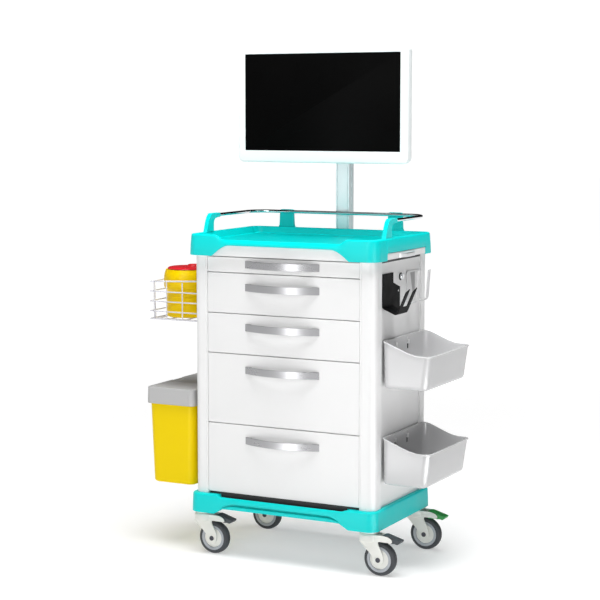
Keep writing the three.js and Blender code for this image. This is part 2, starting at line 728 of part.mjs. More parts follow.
function monitorHousing() {
  const wall = 3;
  const shell = alongY(
    roundedRectangle(-MONITOR_X, MONITOR_X, MONITOR_BOTTOM, MONITOR_TOP, MONITOR_RADIUS),
    MONITOR_FRONT, MONITOR_BACK, 4,
  );
  const hollow = alongY(
    roundedRectangle(
      -MONITOR_X + wall, MONITOR_X - wall, MONITOR_BOTTOM + wall, MONITOR_TOP - wall, MONITOR_RADIUS - wall,
    ),
    MONITOR_FRONT + wall, MONITOR_BACK - wall, 4,
  );
  const window = box(
    -SCREEN_HALF, SCREEN_HALF, MONITOR_FRONT - 1, MONITOR_FRONT + 6, SCREEN_BOTTOM, SCREEN_TOP,
  );
  const ears = [-1, 1].map((side) => {
    const [x0, x1] = [side * 17, side * 25].sort((a, b) => a - b);
    const ear = alongX(roundedRectangle(MONITOR_BACK - 2, TILT_Y + 11, ARM_Z - 11, ARM_Z + 11, 10), x0, x1);
    return ear.subtract(bar("x", x0 - 1, x1 + 1, TILT_Y, ARM_Z, 5 + GAP));
  });
  const mount = roundedRectangle(-50, 50, ARM_Z - 50, ARM_Z + 50, 8);
  const plate = alongY(mount, MONITOR_BACK - 1, MONITOR_BACK + 4);
  return joined(cut(shell, hollow, window), plate, ...ears);
}

function monitorScreen() {
  const inset = 0.4;
  const glass = box(
    -SCREEN_HALF + inset, SCREEN_HALF - inset, MONITOR_FRONT + 1, MONITOR_FRONT + 5,
    SCREEN_BOTTOM + inset, SCREEN_TOP - inset,
  );
  const panel = box(
    -SCREEN_HALF - 8, SCREEN_HALF + 8, MONITOR_FRONT + 3.4, MONITOR_FRONT + 11,
    SCREEN_BOTTOM - 6, SCREEN_TOP + 6,
  );
  return glass.add(panel);
}

// ---------------------------------------------------------------- left side

// Welded wire basket: hoops round its four sides, upright wires and a wire floor
function wireBasket() {
  const { x0, x1, y0, y1, z0, z1 } = BASKET;
  const hoop = (z) => {
    const inside = box(x0 + WIRE, x1 - WIRE, y0 + WIRE, y1 - WIRE, z - WIRE - 1, z + 1);
    return box(x0, x1, y0, y1, z - WIRE, z).subtract(inside);
  };
  let basket = [z0 + WIRE, 742, 773, 804, z1].map(hoop).reduce((whole, ring) => whole.add(ring));
  const upright = (x, y) => box(x - 2, x + 2, y - 2, y + 2, z0, z1 - 1);
  for (const x of BASKET_UPRIGHTS_X) {
    const floor = box(x - 2, x + 2, y0 + 1, y1 - 1, z0, z0 + WIRE);
    basket = joined(basket, upright(x, y0 + 2), upright(x, y1 - 2), floor);
  }
  for (const y of [-113, -66, -20]) {
    basket = joined(basket, upright(x0 + 2, y), upright(x1 - 2, y));
  }
  return basket;
}

function sharpsContainer() {
  const r = SHARPS_RADIUS;
  const body = SHARPS_BODY;
  const wall = 2.5;
  const profile = [
    [0, 720], [body - 6, 720], [body, 726], [body, 803], [r, 815], [r, 845], [r - 6, 868],
    [r - 6 - wall, 868], [r - wall, 844], [r - wall, 816], [body - wall, 804], [body - wall, 727],
    [body - 7, 722.5], [0, 722.5],
  ];
  const shell = solid(turned(profile, 20).translate(SHARPS_X, SHARPS_Y, 0));
  // Hinge ears on the side towards the cabinet
  const ears = [-1, 1].map((side) => {
    const [y0, y1] = [SHARPS_Y + side * 15, SHARPS_Y + side * 19].sort((a, b) => a - b);
    return box(SHARPS_X + 54, SHARPS_X + 69.5, y0, y1, 861, 882);
  });
  const pin = bar("y", SHARPS_Y - 16, SHARPS_Y + 16, SHARPS_X + 60, 878, 2, 12);
  return joined(shell, ...ears, pin);
}

// Domed lid with a hinge knuckle and a small finger tab
function sharpsLid() {
  const profile = [[0, 868.4], [64, 868.4], [64, 872], [59, 876], [0, 877]];
  const disc = solid(turned(profile, 20).translate(SHARPS_X, SHARPS_Y, 0));
  const room = box(SHARPS_X + 50, SHARPS_X + 70, SHARPS_Y - 20, SHARPS_Y + 20, 860, 890);
  const arm = box(SHARPS_X + 40, SHARPS_X + 60, SHARPS_Y - 13, SHARPS_Y + 13, 873, 881);
  const knuckle = bar("y", SHARPS_Y - 14, SHARPS_Y + 14, SHARPS_X + 60, 878, 5, 16);
  const plug = bar("z", 876, 884, SHARPS_X + 22, SHARPS_Y, 20, 18);
  const bore = bar("y", SHARPS_Y - 20, SHARPS_Y + 20, SHARPS_X + 60, 878, 2 + GAP, 12);
  return joined(disc.subtract(room), plug, arm, knuckle).subtract(bore);
}

function wasteBin() {
  const { x0, x1, y0, y1, z0, z1 } = WASTE;
  const wall = 2.5;
  const upside = (body) => body.mirror([0, 0, 1]).translate([0, 0, z0 + z1]);
  const outer = upside(draftedBlock(x0, x1, y0, y1, 14, z0, z1, WASTE_DRAFT, 4));
  const inner = upside(
    draftedBlock(x0 + wall, x1 - wall, y0 + wall, y1 - wall, 12, z0 - 1, z1 - wall, WASTE_DRAFT - 0.4, 4),
  );
  let bin = outer.subtract(inner);
  // Rear rib that hooks over the panel's bracket
  bin = joined(bin, box(x1 - 4, -306, -78, 58, 443, 446), box(-309, -306, -78, 58, 432, 446));
  bin = bin.add(wasteCollar());
  for (const y of WASTE_HINGE_YS) {
    bin = bin.add(bar("y", y - 21, y + 21, WASTE_SEAM_X, WASTE_HINGE_Z, 1.5, 12));
  }
  return bin;
}

// Fixed strip of the lid's outline along the cabinet side, with ears for the hinge pins
function wasteCollar() {
  const { x0, x1, y0, y1, z0, z1 } = WASTE_LID;
  const wall = 3.4;
  const shell = draftedBlock(x0, x1, y0, y1, 16, z0, z1, 1, 4);
  const hollow = draftedBlock(x0 + wall, x1 - wall, y0 + wall, y1 - wall, 13, z0 - 1, z1 - wall, 1, 4);
  let collar = cut(shell, hollow, box(x0 - 1, WASTE_SEAM_X + GAP, y0 - 1, y1 + 1, z0 - 1, z1 + 1));
  for (const y of WASTE_HINGE_YS) {
    const half = 18 + GAP;
    collar = collar.subtract(box(WASTE_SEAM_X - 1, WASTE_SEAM_X + 5, y - half, y + half, 490, z1 + 4));
    for (const side of [-1, 1]) {
      const edge = y + side * half;
      const [near, far] = [edge, edge + side * 3.6].sort((a, b) => a - b);
      collar = collar.add(box(WASTE_SEAM_X - 3, WASTE_SEAM_X + 3, near, far, z1 - 2.4, z1 + 2.6));
    }
  }
  return collar.add(box(WASTE_SEAM_X + GAP, x1 - 1, y0 + 4, y1 - 4, 470, 473));
}

function wasteBinLid() {
  const { x0, x1, y0, y1, z0, z1 } = WASTE_LID;
  const wall = 3.4;
  const shell = draftedBlock(x0, x1, y0, y1, 16, z0, z1, 1, 4);
  const hollow = draftedBlock(x0 + wall, x1 + 9, y0 + wall, y1 - wall, 13, z0 - 1, z1 - wall, 1, 4);
  let lid = cut(shell, hollow, box(WASTE_SEAM_X - GAP, x1 + 1, y0 - 1, y1 + 1, z0 - 1, z1 + 1));
  for (const y of WASTE_HINGE_YS) {
    for (const side of [-1, 1]) {
      const edge = y + side * 20;
      lid = lid.subtract(box(WASTE_SEAM_X - 4, WASTE_SEAM_X + 1, edge - 2.4, edge + 2.4, z1 - 8, z1 + 4));
    }
    lid = lid.add(bar("y", y - 17.6, y + 17.6, WASTE_SEAM_X, WASTE_HINGE_Z, 3.4, 14));
    lid = lid.subtract(bar("y", y - 30, y + 30, WASTE_SEAM_X, WASTE_HINGE_Z, 1.5 + GAP, 12));
  }
  // Finger notch in the outer edge
  const notch = box(x0 - 1, x0 + 8, -30, 34, z1 - 10, z1 + 1);
  const pull = box(x0 + 1, x0 + 11, -32, 36, z1 - 14, z1 - 10);
  return lid.subtract(notch).add(pull);
}

// ---------------------------------------------------------------- right side

// One hanging bin: walls lean out, the rim falls from the back to the front
function storageBin(bottom) {
  const rear = bottom + BIN_BACK_HEIGHT;
  const front = bottom + BIN_FRONT_HEIGHT;
  // The block's plan grows upwards from the floor to the rim, with a flat back
  const plan = (inset, z0, z1) => {
    const half = BIN_FLOOR_HALF - inset;
    const geometry = extrusion(
      roundedRectangle(BIN_BACK_X + inset, BIN_FLOOR_X - inset, -half, half, 16 - inset),
      z1 - z0,
      4,
    ).translate(0, 0, z0);
    const points = geometry.attributes.position;
    for (let i = 0; i < points.count; i += 1) {
      const rise = (points.getZ(i) - bottom) / BIN_FRONT_HEIGHT;
      const reach = (points.getX(i) - BIN_BACK_X) / (BIN_FLOOR_X - BIN_BACK_X);
      points.setX(i, points.getX(i) + (BIN_RIM_X - BIN_FLOOR_X) * rise * Math.max(reach, 0));
      points.setY(i, points.getY(i) * (1 + (BIN_RIM_HALF / BIN_FLOOR_HALF - 1) * rise));
    }
    return solid(geometry);
  };
  const above = new THREE.Shape();
  above.moveTo(BIN_BACK_X - 10, rear);
  above.lineTo(BIN_BACK_X, rear);
  above.bezierCurveTo(BIN_BACK_X + 40, rear - 7, BIN_BACK_X + 80, front, BIN_BACK_X + 123, front);
  above.lineTo(BIN_RIM_X + 40, front);
  above.lineTo(BIN_RIM_X + 40, rear + 60);
  above.lineTo(BIN_BACK_X - 10, rear + 60);
  let bin = plan(0, bottom, rear + 10).subtract(plan(BIN_WALL, bottom + BIN_WALL, rear + 20));
  bin = bin.subtract(alongY(above, -200, 200, 8)).translate([0, BIN_Y, 0]);
  const hook = bottom + BIN_HOOK_HEIGHT;
  for (const y of BIN_HOOK_YS) {
    bin = bin.subtract(box(BIN_BACK_X - 2, BIN_BACK_X + 6, y - 4.5, y + 4.5, hook - 19, hook + GAP));
  }
  return bin;
}

// Black holder: a plate on the panel, bent out below into two leaning prongs
function scannerHolder() {
  const x = PANEL_X + GAP + 1.5;
  const bend = [
    [x, 886], [x, 792], [x + 3, 786], [x + 38, 771], [x + 44, 770.5], [x + 48, 775],
    [x + 73, 833], [x + 78, 845],
  ];
  const whole = alongY(strip(bend, 3), -132, -9);
  const upperCorner = outline([[-57.5, 890], [-57.5, 856], [-13, 841], [-5, 841], [-5, 890]]);
  // Only the front part of the plate is bent out
  const lowerCorner = box(x + 2, x + 90, -60, -5, 765, 850);
  const foot = box(x - 3, x + 4, -60, -5, 760, 787);
  const tips = outline([
    [-140, 833], [-104, 845], [-88, 833], [-60, 845], [-50, 845], [-50, 870], [-140, 870],
  ]);
  const between = outline([[-104, 790], [-88, 790], [-88, 860], [-104, 860]]);
  return cut(
    whole,
    alongX(upperCorner, x - 10, x + 10),
    lowerCorner,
    foot,
    alongX(tips, x + 20, x + 90),
    alongX(between, x + 46, x + 90),
    bar("x", x - 5, x + 5, -22, 829, 2.5, 12),
  );
}

// White plate with two U-shaped hooks
function doubleHook() {
  const x = PANEL_X + GAP + 1.5;
  const plate = alongX(roundedRectangle(42, 140, 787, 881, 6), x - 1.5, x + 1.5, 3);
  const bend = [[x, 808], [x, 801], ...arc(x + 15.5, 801, 15.5, 180, 350, 8), [x + 37, 881]];
  const hooks = [[42, 60], [120, 138]].map(([y0, y1]) => alongY(strip(bend, 3), y0, y1));
  return joined(plate, ...hooks);
}

function lockBarrel() {
  const flange = bar("x", PANEL_X + GAP, PANEL_X + 8, 0, 869, 9, 24);
  const barrel = bar("x", PANEL_X - 16, PANEL_X + 1, 0, 869, 7, 24);
  const cam = box(PANEL_X - 19, PANEL_X - 15, -6, 6, 863, 893);
  const keySlot = box(PANEL_X + 3, PANEL_X + 9, -1, 1, 864, 874);
  return joined(flange, barrel, cam).subtract(keySlot);
}

// ---------------------------------------------------------------- assembly

const corners = [
  ["front_left", -1, -1],
  ["front_right", 1, -1],
  ["rear_left", -1, 1],
  ["rear_right", 1, 1],
];

add("base_frame", baseFrame(), MATERIALS.turquoise);
for (const [place, sx, sy] of corners) {
  add(`column_${place}`, column(sx, sy), MATERIALS.cabinet);
}
add("side_panel_left", leftPanel(), MATERIALS.cabinet);
add("side_panel_right", rightPanel(), MATERIALS.cabinet);
add("back_panel", backPanel(), MATERIALS.cabinet);
add("front_fascia", frontFascia(), MATERIALS.cabinet);
add("runner_rack_left", runnerRack(-1), MATERIALS.steel);
add("runner_rack_right", runnerRack(1), MATERIALS.steel);
for (let i = 0; i < 5; i += 1) {
  add(`drawer_${i + 1}`, drawer(i), MATERIALS.cabinet);
  add(`drawer_handle_${i + 1}`, drawerHandle(i), MATERIALS.brushed);
}
for (const [place, sx, sy] of corners) {
  const [x, y] = [sx * CASTER_X, sy * CASTER_Y];
  add(`caster_stem_${place}`, casterStem(x, y), MATERIALS.steel);
  add(`caster_fork_${place}`, casterFork(x, y), MATERIALS.cream);
  add(`caster_wheel_${place}`, casterWheel(x, y), MATERIALS.tyre);
  const pedalMaterial = place === "rear_right" ? MATERIALS.greenPedal : MATERIALS.pedal;
  add(`brake_pedal_${place}`, brakePedal(x, y), pedalMaterial);
}
add("top_tray", topTray(), MATERIALS.turquoise);
add("side_shelf", sideShelf(), MATERIALS.cabinet);
add("side_shelf_handle", sideShelfHandle(), MATERIALS.brushed);
add("guard_rail", guardRail(), MATERIALS.chrome);
add("rail_post_front_left", frontPost(-1), MATERIALS.turquoise);
add("rail_post_front_right", frontPost(1), MATERIALS.turquoise);
add("rail_post_rear_left", rearPost(-1), MATERIALS.turquoise);
add("rail_post_rear_right", rearPost(1), MATERIALS.turquoise);
add("monitor_pole", monitorPole(), MATERIALS.aluminium);
add("monitor_carriage", monitorCarriage(), MATERIALS.monitor);
add("monitor_tilt_head", monitorTiltHead(), MATERIALS.monitor);
add("monitor_housing", monitorHousing(), MATERIALS.monitor);
add("monitor_screen", monitorScreen(), MATERIALS.screen);
add("wire_basket", wireBasket(), MATERIALS.white);
add("sharps_container", sharpsContainer(), MATERIALS.yellow);
add("sharps_lid", sharpsLid(), MATERIALS.red);
add("waste_bin", wasteBin(), MATERIALS.yellow);
add("waste_bin_lid", wasteBinLid(), MATERIALS.grey);
add("storage_bin_upper", storageBin(BIN_BOTTOMS.upper), MATERIALS.binWhite);
add("storage_bin_lower", storageBin(BIN_BOTTOMS.lower), MATERIALS.binWhite);
add("scanner_holder", scannerHolder(), MATERIALS.black);
add("double_hook", doubleHook(), MATERIALS.white);
add("lock_barrel", lockBarrel(), MATERIALS.chrome);

// The origin is the bottom centre of the whole cart's box
const bounds = new THREE.Box3().setFromObject(cart);
const centre = bounds.getCenter(new THREE.Vector3());
cart.position.set(-centre.x, -centre.y, -bounds.min.z);

export default cart;
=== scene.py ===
"""Medication cart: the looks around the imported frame.

Shapes are worked out in millimetres from the cart's own centre line, with the floor at
z = 0, and placed in the frame in metres. Outer sizes come from the frame's nodes.
"""

import math
from collections import namedtuple

import bmesh
import bpy
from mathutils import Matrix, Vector


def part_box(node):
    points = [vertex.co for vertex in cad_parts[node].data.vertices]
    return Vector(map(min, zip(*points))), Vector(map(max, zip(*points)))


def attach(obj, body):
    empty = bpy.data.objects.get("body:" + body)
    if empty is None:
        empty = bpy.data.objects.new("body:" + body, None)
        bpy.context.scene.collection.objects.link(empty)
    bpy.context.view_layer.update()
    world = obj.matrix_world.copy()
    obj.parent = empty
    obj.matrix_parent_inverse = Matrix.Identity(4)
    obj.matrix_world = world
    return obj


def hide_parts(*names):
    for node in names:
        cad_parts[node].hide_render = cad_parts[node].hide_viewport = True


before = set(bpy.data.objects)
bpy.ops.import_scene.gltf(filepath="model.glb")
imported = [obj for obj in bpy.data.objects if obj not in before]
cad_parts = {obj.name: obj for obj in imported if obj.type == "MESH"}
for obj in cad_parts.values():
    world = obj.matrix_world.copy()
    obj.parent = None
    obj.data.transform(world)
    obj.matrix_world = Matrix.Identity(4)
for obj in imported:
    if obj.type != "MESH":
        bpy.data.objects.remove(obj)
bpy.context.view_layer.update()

MM = 0.001
base_low, base_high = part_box("base_frame")
CENTRE = Vector(((base_low.x + base_high.x) / 2, (base_low.y + base_high.y) / 2, 0.0))

Span = namedtuple("Span", "x0 x1 y0 y1 z0 z1")
CORNERS = {
    "front_left": (-1, -1),
    "front_right": (1, -1),
    "rear_left": (-1, 1),
    "rear_right": (1, 1),
}


def span(node):
    """A CAD node's extent in millimetres from the cart's centre line."""
    low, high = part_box(node)
    low = (low - CENTRE) / MM
    high = (high - CENTRE) / MM
    return Span(low.x, high.x, low.y, high.y, low.z, high.z)


# ------------------------------------------------------------------ outlines


def unit(value):
    return min(max(value, 0.0), 1.0)


def smooth_step(value):
    t = unit(value)
    return t * t * (3 - 2 * t)


def eased(value):
    """Rises quickly from 0 and levels out at 1."""
    return math.sin(unit(value) * math.pi / 2)


def arc(u, v, radius, start, end, steps):
    """Points of a circular arc; angles in degrees."""
    points = []
    for i in range(steps + 1):
        angle = math.radians(start + (end - start) * i / steps)
        points.append((u + radius * math.cos(angle), v + radius * math.sin(angle)))
    return points


def loop(u0, u1, v0, v1, radius, steps=8, along_u=(), along_v=()):
    """A rounded rectangle, anticlockwise from its lower edge, with extra points at the
    given places along its straight edges."""
    radius = max(radius, 0.01)

    def between(places, low, high):
        return [min(max(p, low + 0.01), high - 0.01) for p in sorted(places)]

    across = between(along_u, u0 + radius, u1 - radius)
    upward = between(along_v, v0 + radius, v1 - radius)
    points = [(u, v0) for u in across]
    points += arc(u1 - radius, v0 + radius, radius, -90, 0, steps)
    points += [(u1, v) for v in upward]
    points += arc(u1 - radius, v1 - radius, radius, 0, 90, steps)
    points += [(u, v1) for u in reversed(across)]
    points += arc(u0 + radius, v1 - radius, radius, 90, 180, steps)
    points += [(u0, v) for v in reversed(upward)]
    points += arc(u0 + radius, v0 + radius, radius, 180, 270, steps)
    return points


def inset_loop(box, inset, radius, steps, along_u=(), along_v=()):
    """The rounded rectangle of a box (u0, u1, v0, v1), drawn in on every side."""
    u0, u1, v0, v1 = box
    return loop(u0 + inset, u1 - inset, v0 + inset, v1 - inset, radius, steps, along_u, along_v)


def bezier(a, b, c, d, steps):
    """Points of a cubic curve, its first point left out so that stretches follow on."""
    points = []
    for i in range(1, steps + 1):
        t = i / steps
        s = 1 - t
        weights = (s**3, 3 * s * s * t, 3 * s * t * t, t**3)
        points.append(tuple(sum(w * p[k] for w, p in zip(weights, (a, b, c, d))) for k in (0, 1)))
    return points


def strip(points, thickness):
    """The outline of a bent strip with even thickness."""
    line = [Vector(p) for p in points]
    left, right = [], []
    for i, point in enumerate(line):
        along = line[min(i + 1, len(line) - 1)] - line[max(i - 1, 0)]
        normal = Vector((-along.y, along.x)).normalized() * thickness / 2
        left.append(tuple(point + normal))
        right.append(tuple(point - normal))
    return left + right[::-1]


AXES = {
    "x": lambda u, v, w: (w, u, v),
    "y": lambda u, v, w: (u, w, v),
    "z": lambda u, v, w: (u, v, w),
}


def flat(outline, axis, w):
    """An outline placed across an axis: (y, z) across x, (x, z) across y, (x, y) across z."""
    return [AXES[axis](u, v, w) for u, v in outline]


def lifted(outline, height):
    """An outline in plan at a height that is a number or a function of x and y."""
    return [(x, y, height(x, y) if callable(height) else height) for x, y in outline]


# ------------------------------------------------------------------ solid shapes

# A shape is a pair: its vertices and its faces


def loft(rings, cap_start=True, ring_closed=True, around=False):
    """Quads between rings that all have the same number of points."""
    count = len(rings[0])
    vertices = [point for ring in rings for point in ring]
    faces = []
    steps = len(rings) if around else len(rings) - 1
    edges = count if ring_closed else count - 1
    for i in range(steps):
        here, there = i * count, ((i + 1) % len(rings)) * count
        for k in range(edges):
            n = (k + 1) % count
            faces.append([here + k, here + n, there + n, there + k])
    if cap_start and not around:
        faces.append(list(range(count)))
    if not around:
        faces.append([(len(rings) - 1) * count + k for k in range(count)])
    return vertices, faces


def joined(*shapes):
    """Several shapes as one."""
    vertices, faces = [], []
    for part_vertices, part_faces in shapes:
        start = len(vertices)
        vertices += part_vertices
        faces += [[start + i for i in face] for face in part_faces]
    return vertices, faces


def prism(outline, axis, low, high):
    """An outline carried along an axis."""
    return loft([flat(outline, axis, w) for w in (low, high)])


def block(x0, x1, y0, y1, z0, z1):
    return prism([(x0, y0), (x1, y0), (x1, y1), (x0, y1)], "z", z0, z1)


def turned(profile, centre, axis="z", segments=48):
    """A profile of (radius, height) points turned about an axis through centre."""
    rings = []
    for i in range(segments):
        angle = 2 * math.pi * i / segments
        ring = []
        for radius, height in profile:
            u, v = radius * math.cos(angle), radius * math.sin(angle)
            x, y, z = AXES[axis](u, v, height)
            ring.append((x + centre[0], y + centre[1], z + centre[2]))
        rings.append(ring)
    return loft(rings, ring_closed=False, around=True)


def disc(centre, axis, radius, low, high, edge=1.0, hole=0.0, segments=48):
    """A disc or ring with rounded outer edges, from low to high along its axis."""
    profile = [(hole, low), (radius - edge, low)]
    profile += arc(radius - edge, low + edge, edge, -90, 0, 4)[1:]
    profile += arc(radius - edge, high - edge, edge, 0, 90, 4)
    profile += [(hole, high)]
    if hole:
        profile += [(hole, low)]
    return turned(profile, centre, axis, segments)


def sweep(path, radius, sides, closed=False):
    """A round tube along a list of 3D points."""
    points = [Vector(p) for p in path]
    count = len(points)
    rings = []
    side = None
    for i, point in enumerate(points):
        before = points[i - 1] if closed or i else points[0]
        after = points[(i + 1) % count] if closed or i < count - 1 else points[-1]
        along = (after - before).normalized()
        if side is None:
            side = along.orthogonal().normalized()
        side = (side - along * side.dot(along)).normalized()
        up = along.cross(side)
        ring = []
        for k in range(sides):
            angle = 2 * math.pi * k / sides
            offset = side * math.cos(angle) + up * math.sin(angle)
            ring.append(tuple(point + offset * radius))
        rings.append(ring)
    return loft(rings, around=closed)


# ------------------------------------------------------------------ pieces


def add_object(name, vertices, faces):
    """A mesh object from millimetre points, with its faces turned outwards."""
    mesh = bpy.data.meshes.new(name)
    mesh.from_pydata([Vector(v) * MM + CENTRE for v in vertices], [], faces)
    obj = bpy.data.objects.new(name, mesh)
    bpy.context.scene.collection.objects.link(obj)
    bm = bmesh.new()
    bm.from_mesh(mesh)
    bmesh.ops.remove_doubles(bm, verts=bm.verts, dist=1e-6)
    bmesh.ops.dissolve_degenerate(bm, edges=bm.edges, dist=1e-7)
    bmesh.ops.recalc_face_normals(bm, faces=bm.faces)
    bm.to_mesh(mesh)
    bm.free()
    return obj


def apply_modifiers(obj):
    bpy.context.view_layer.update()
    graph = bpy.context.evaluated_depsgraph_get()
    mesh = bpy.data.meshes.new_from_object(obj.evaluated_get(graph))
    old = obj.data
    obj.modifiers.clear()
    obj.data = mesh
    bpy.data.meshes.remove(old)


def carve(obj, cutters):
    """Cuts shapes out of an object."""
    for i, shape in enumerate(cutters):
        tool = add_object(f"{obj.name}_tool{i}", *shape)
        cut = obj.modifiers.new("cut", "BOOLEAN")
        cut.object = tool
        cut.operation = "DIFFERENCE"
        cut.solver = "EXACT"
        apply_modifiers(obj)
        bpy.data.objects.remove(tool)


def add_bevel(obj, width, segments, angle):
    rounding = obj.modifiers.new("rounding", "BEVEL")
    rounding.width = width * MM
    rounding.segments = segments
    rounding.limit_method = "ANGLE"
    rounding.angle_limit = math.radians(angle)
    return rounding


def piece(
    name, shape, body, material, replaces=(), cut=(), bevel=0.0, segments=3, sharp=38,
):
    """A finished piece: cut, its edges rounded, shaded, painted and placed in the frame."""
    obj = add_object(name, *shape)
    carve(obj, cut)
    if bevel:
        add_bevel(obj, bevel, segments, 32)
        apply_modifiers(obj)
    obj.data.polygons.foreach_set("use_smooth", [True] * len(obj.data.polygons))
    obj.data.set_sharp_from_angle(angle=math.radians(sharp))
    if bevel:
        flatten = obj.modifiers.new("flatten", "WEIGHTED_NORMAL")
        flatten.keep_sharp = True
        apply_modifiers(obj)
    obj.data.materials.clear()
    obj.data.materials.append(material)
    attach(obj, body)
    if replaces:
        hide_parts(*replaces)


def dress(node, material, width=0.6):
    """A CAD node that stays: a material and softened edges, its own mesh unchanged."""
    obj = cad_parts[node]
    weld = obj.modifiers.new("weld", "WELD")
    weld.merge_threshold = 0.01 * MM
    add_bevel(obj, width, 2, 40).harden_normals = True
    obj.data.materials.clear()
    obj.data.materials.append(material)


# ------------------------------------------------------------------ materials


def linear(red, green, blue):
    """sRGB values from 0 to 255 as linear colour."""
    channels = []
    for value in (red, green, blue):
        c = value / 255
        channels.append(c / 12.92 if c <= 0.04045 else ((c + 0.055) / 1.055) ** 2.4)
    return channels


def map_range(tree, source, start, end, low=0.0, high=1.0, smooth=False):
    """Turns values from start to end into values from low to high."""
    node = tree.nodes.new("ShaderNodeMapRange")
    if smooth:
        node.interpolation_type = "SMOOTHSTEP"
    limits = {"From Min": start, "From Max": end, "To Min": low, "To Max": high}
    for socket, value in limits.items():
        node.inputs[socket].default_value = value
    tree.links.new(source, node.inputs["Value"])
    return node.outputs["Result"]


def noise(tree, source, scale, detail):
    node = tree.nodes.new("ShaderNodeTexNoise")
    node.inputs["Scale"].default_value = scale
    node.inputs["Detail"].default_value = detail
    tree.links.new(source, node.inputs["Vector"])
    return node.outputs["Fac"]


def surface(
    name, color, roughness, metallic=0.0, grain=900.0, bump=0.05, mottle=0.04,
    stretch=(1, 1, 1), coat=0.0, anisotropic=0.0, spread=0.06, specular=0.5,
):
    """A surface with fine grain in its height, soft changes of colour and gloss, and
    slightly lighter sharp edges: a painted highlight for the light that edges catch."""
    color = linear(*color)
    material = bpy.data.materials.new(name)
    material.use_nodes = True
    tree = material.node_tree
    nodes, links = tree.nodes, tree.links
    shader = nodes["Principled BSDF"]
    shader.inputs["Metallic"].default_value = metallic
    shader.inputs["Specular IOR Level"].default_value = specular
    shader.inputs["Coat Weight"].default_value = coat
    shader.inputs["Coat Roughness"].default_value = 0.12
    shader.inputs["Anisotropic"].default_value = anisotropic

    place = nodes.new("ShaderNodeTexCoord").outputs["Object"]
    mapping = nodes.new("ShaderNodeMapping")
    mapping.inputs["Scale"].default_value = stretch
    links.new(place, mapping.inputs["Vector"])
    stretched = mapping.outputs["Vector"]

    tint = nodes.new("ShaderNodeMix")
    tint.data_type = "RGBA"
    dark = [c * (1 - mottle) for c in color]
    light = [min(c * (1 + mottle) + mottle * 0.01, 1.0) for c in color]
    tint.inputs["A"].default_value = (*dark, 1)
    tint.inputs["B"].default_value = (*light, 1)
    links.new(noise(tree, place, 7.0, 4.0), tint.inputs["Factor"])

    # Painted highlight: pointed edges are painted lighter, standing in for the light they catch
    pointiness = nodes.new("ShaderNodeNewGeometry").outputs["Pointiness"]
    edge_highlight = nodes.new("ShaderNodeMix")
    edge_highlight.data_type = "RGBA"
    edge_highlight.inputs["B"].default_value = (*[min(c * 1.15 + 0.03, 1.0) for c in color], 1)
    links.new(map_range(tree, pointiness, 0.53, 0.66, high=0.35), edge_highlight.inputs["Factor"])
    links.new(tint.outputs["Result"], edge_highlight.inputs["A"])
    links.new(edge_highlight.outputs["Result"], shader.inputs["Base Color"])

    patches = noise(tree, stretched, 28.0, 5.0)
    smoother, rougher = max(roughness - spread, 0.02), min(roughness + spread, 1.0)
    links.new(map_range(tree, patches, 0.3, 0.7, smoother, rougher), shader.inputs["Roughness"])

    relief = nodes.new("ShaderNodeBump")
    relief.inputs["Strength"].default_value = bump
    relief.inputs["Distance"].default_value = 0.0004
    links.new(noise(tree, stretched, grain, 3.0), relief.inputs["Height"])
    links.new(relief.outputs["Normal"], shader.inputs["Normal"])
    return material


BRUSHED_ALONG_X = (0.02, 1, 1)
BRUSHED_ALONG_Z = (1, 1, 0.02)

TURQUOISE = surface("turquoise_moulding", (0, 216, 214), 0.4, mottle=0.02, specular=0.22)
# The recess floor: a fine grain in its height, and a darker turquoise that is painted shade
WORKTOP_GRAIN_AND_PAINTED_SHADE = surface(
    "worktop_floor_grain", (0, 182, 180), 0.5, grain=1600, bump=0.15, mottle=0.02, specular=0.2,
)
CABINET = surface("cabinet_powder_coat", (239, 239, 239), 0.44, grain=1400, bump=0.06, mottle=0.012)
DRAWER = surface("drawer_moulding", (236, 236, 236), 0.42, grain=1100, mottle=0.012)
RUNNER = surface("runner_zinc", (176, 180, 184), 0.42, 1.0, grain=500, bump=0.08, mottle=0.08)
BRUSHED = surface(
    "handle_brushed", (160, 160, 162), 0.28, 1.0, grain=1500, bump=0.02, mottle=0.015,
    stretch=BRUSHED_ALONG_X, anisotropic=0.2, spread=0.015,
)
CHROME = surface(
    "polished_chrome", (226, 228, 230), 0.08, 1.0, grain=300, bump=0.01, mottle=0.02, spread=0.03,
)
ALUMINIUM = surface(
    "anodised_pole", (206, 218, 220), 0.36, 0.75, grain=1500, bump=0.1,
    stretch=BRUSHED_ALONG_Z, anisotropic=0.4,
)
MONITOR = surface("monitor_moulding", (246, 252, 252), 0.38, grain=1300, mottle=0.012)
CREAM = surface("caster_moulding", (236, 236, 230), 0.4, grain=1000, bump=0.06, mottle=0.02)
TYRE = surface("tyre_rubber", (66, 69, 73), 0.72, grain=700, bump=0.2, mottle=0.12)
RING = surface("wheel_ring", (176, 180, 186), 0.45)
PEDAL = surface("pedal_grey_moulding", (56, 61, 66), 0.5, grain=800, bump=0.12, mottle=0.08)
GREEN = surface("pedal_green_moulding", (50, 158, 78), 0.45, grain=800, bump=0.1, mottle=0.06)
WHITE = surface("white_coating", (243, 243, 243), 0.36, bump=0.06, mottle=0.015)
WIRE_COAT = surface("wire_coating", (212, 212, 219), 0.32, mottle=0.015)
HOOK = surface("hook_coating", (218, 218, 219), 0.32, bump=0.03, mottle=0.01, spread=0.02)
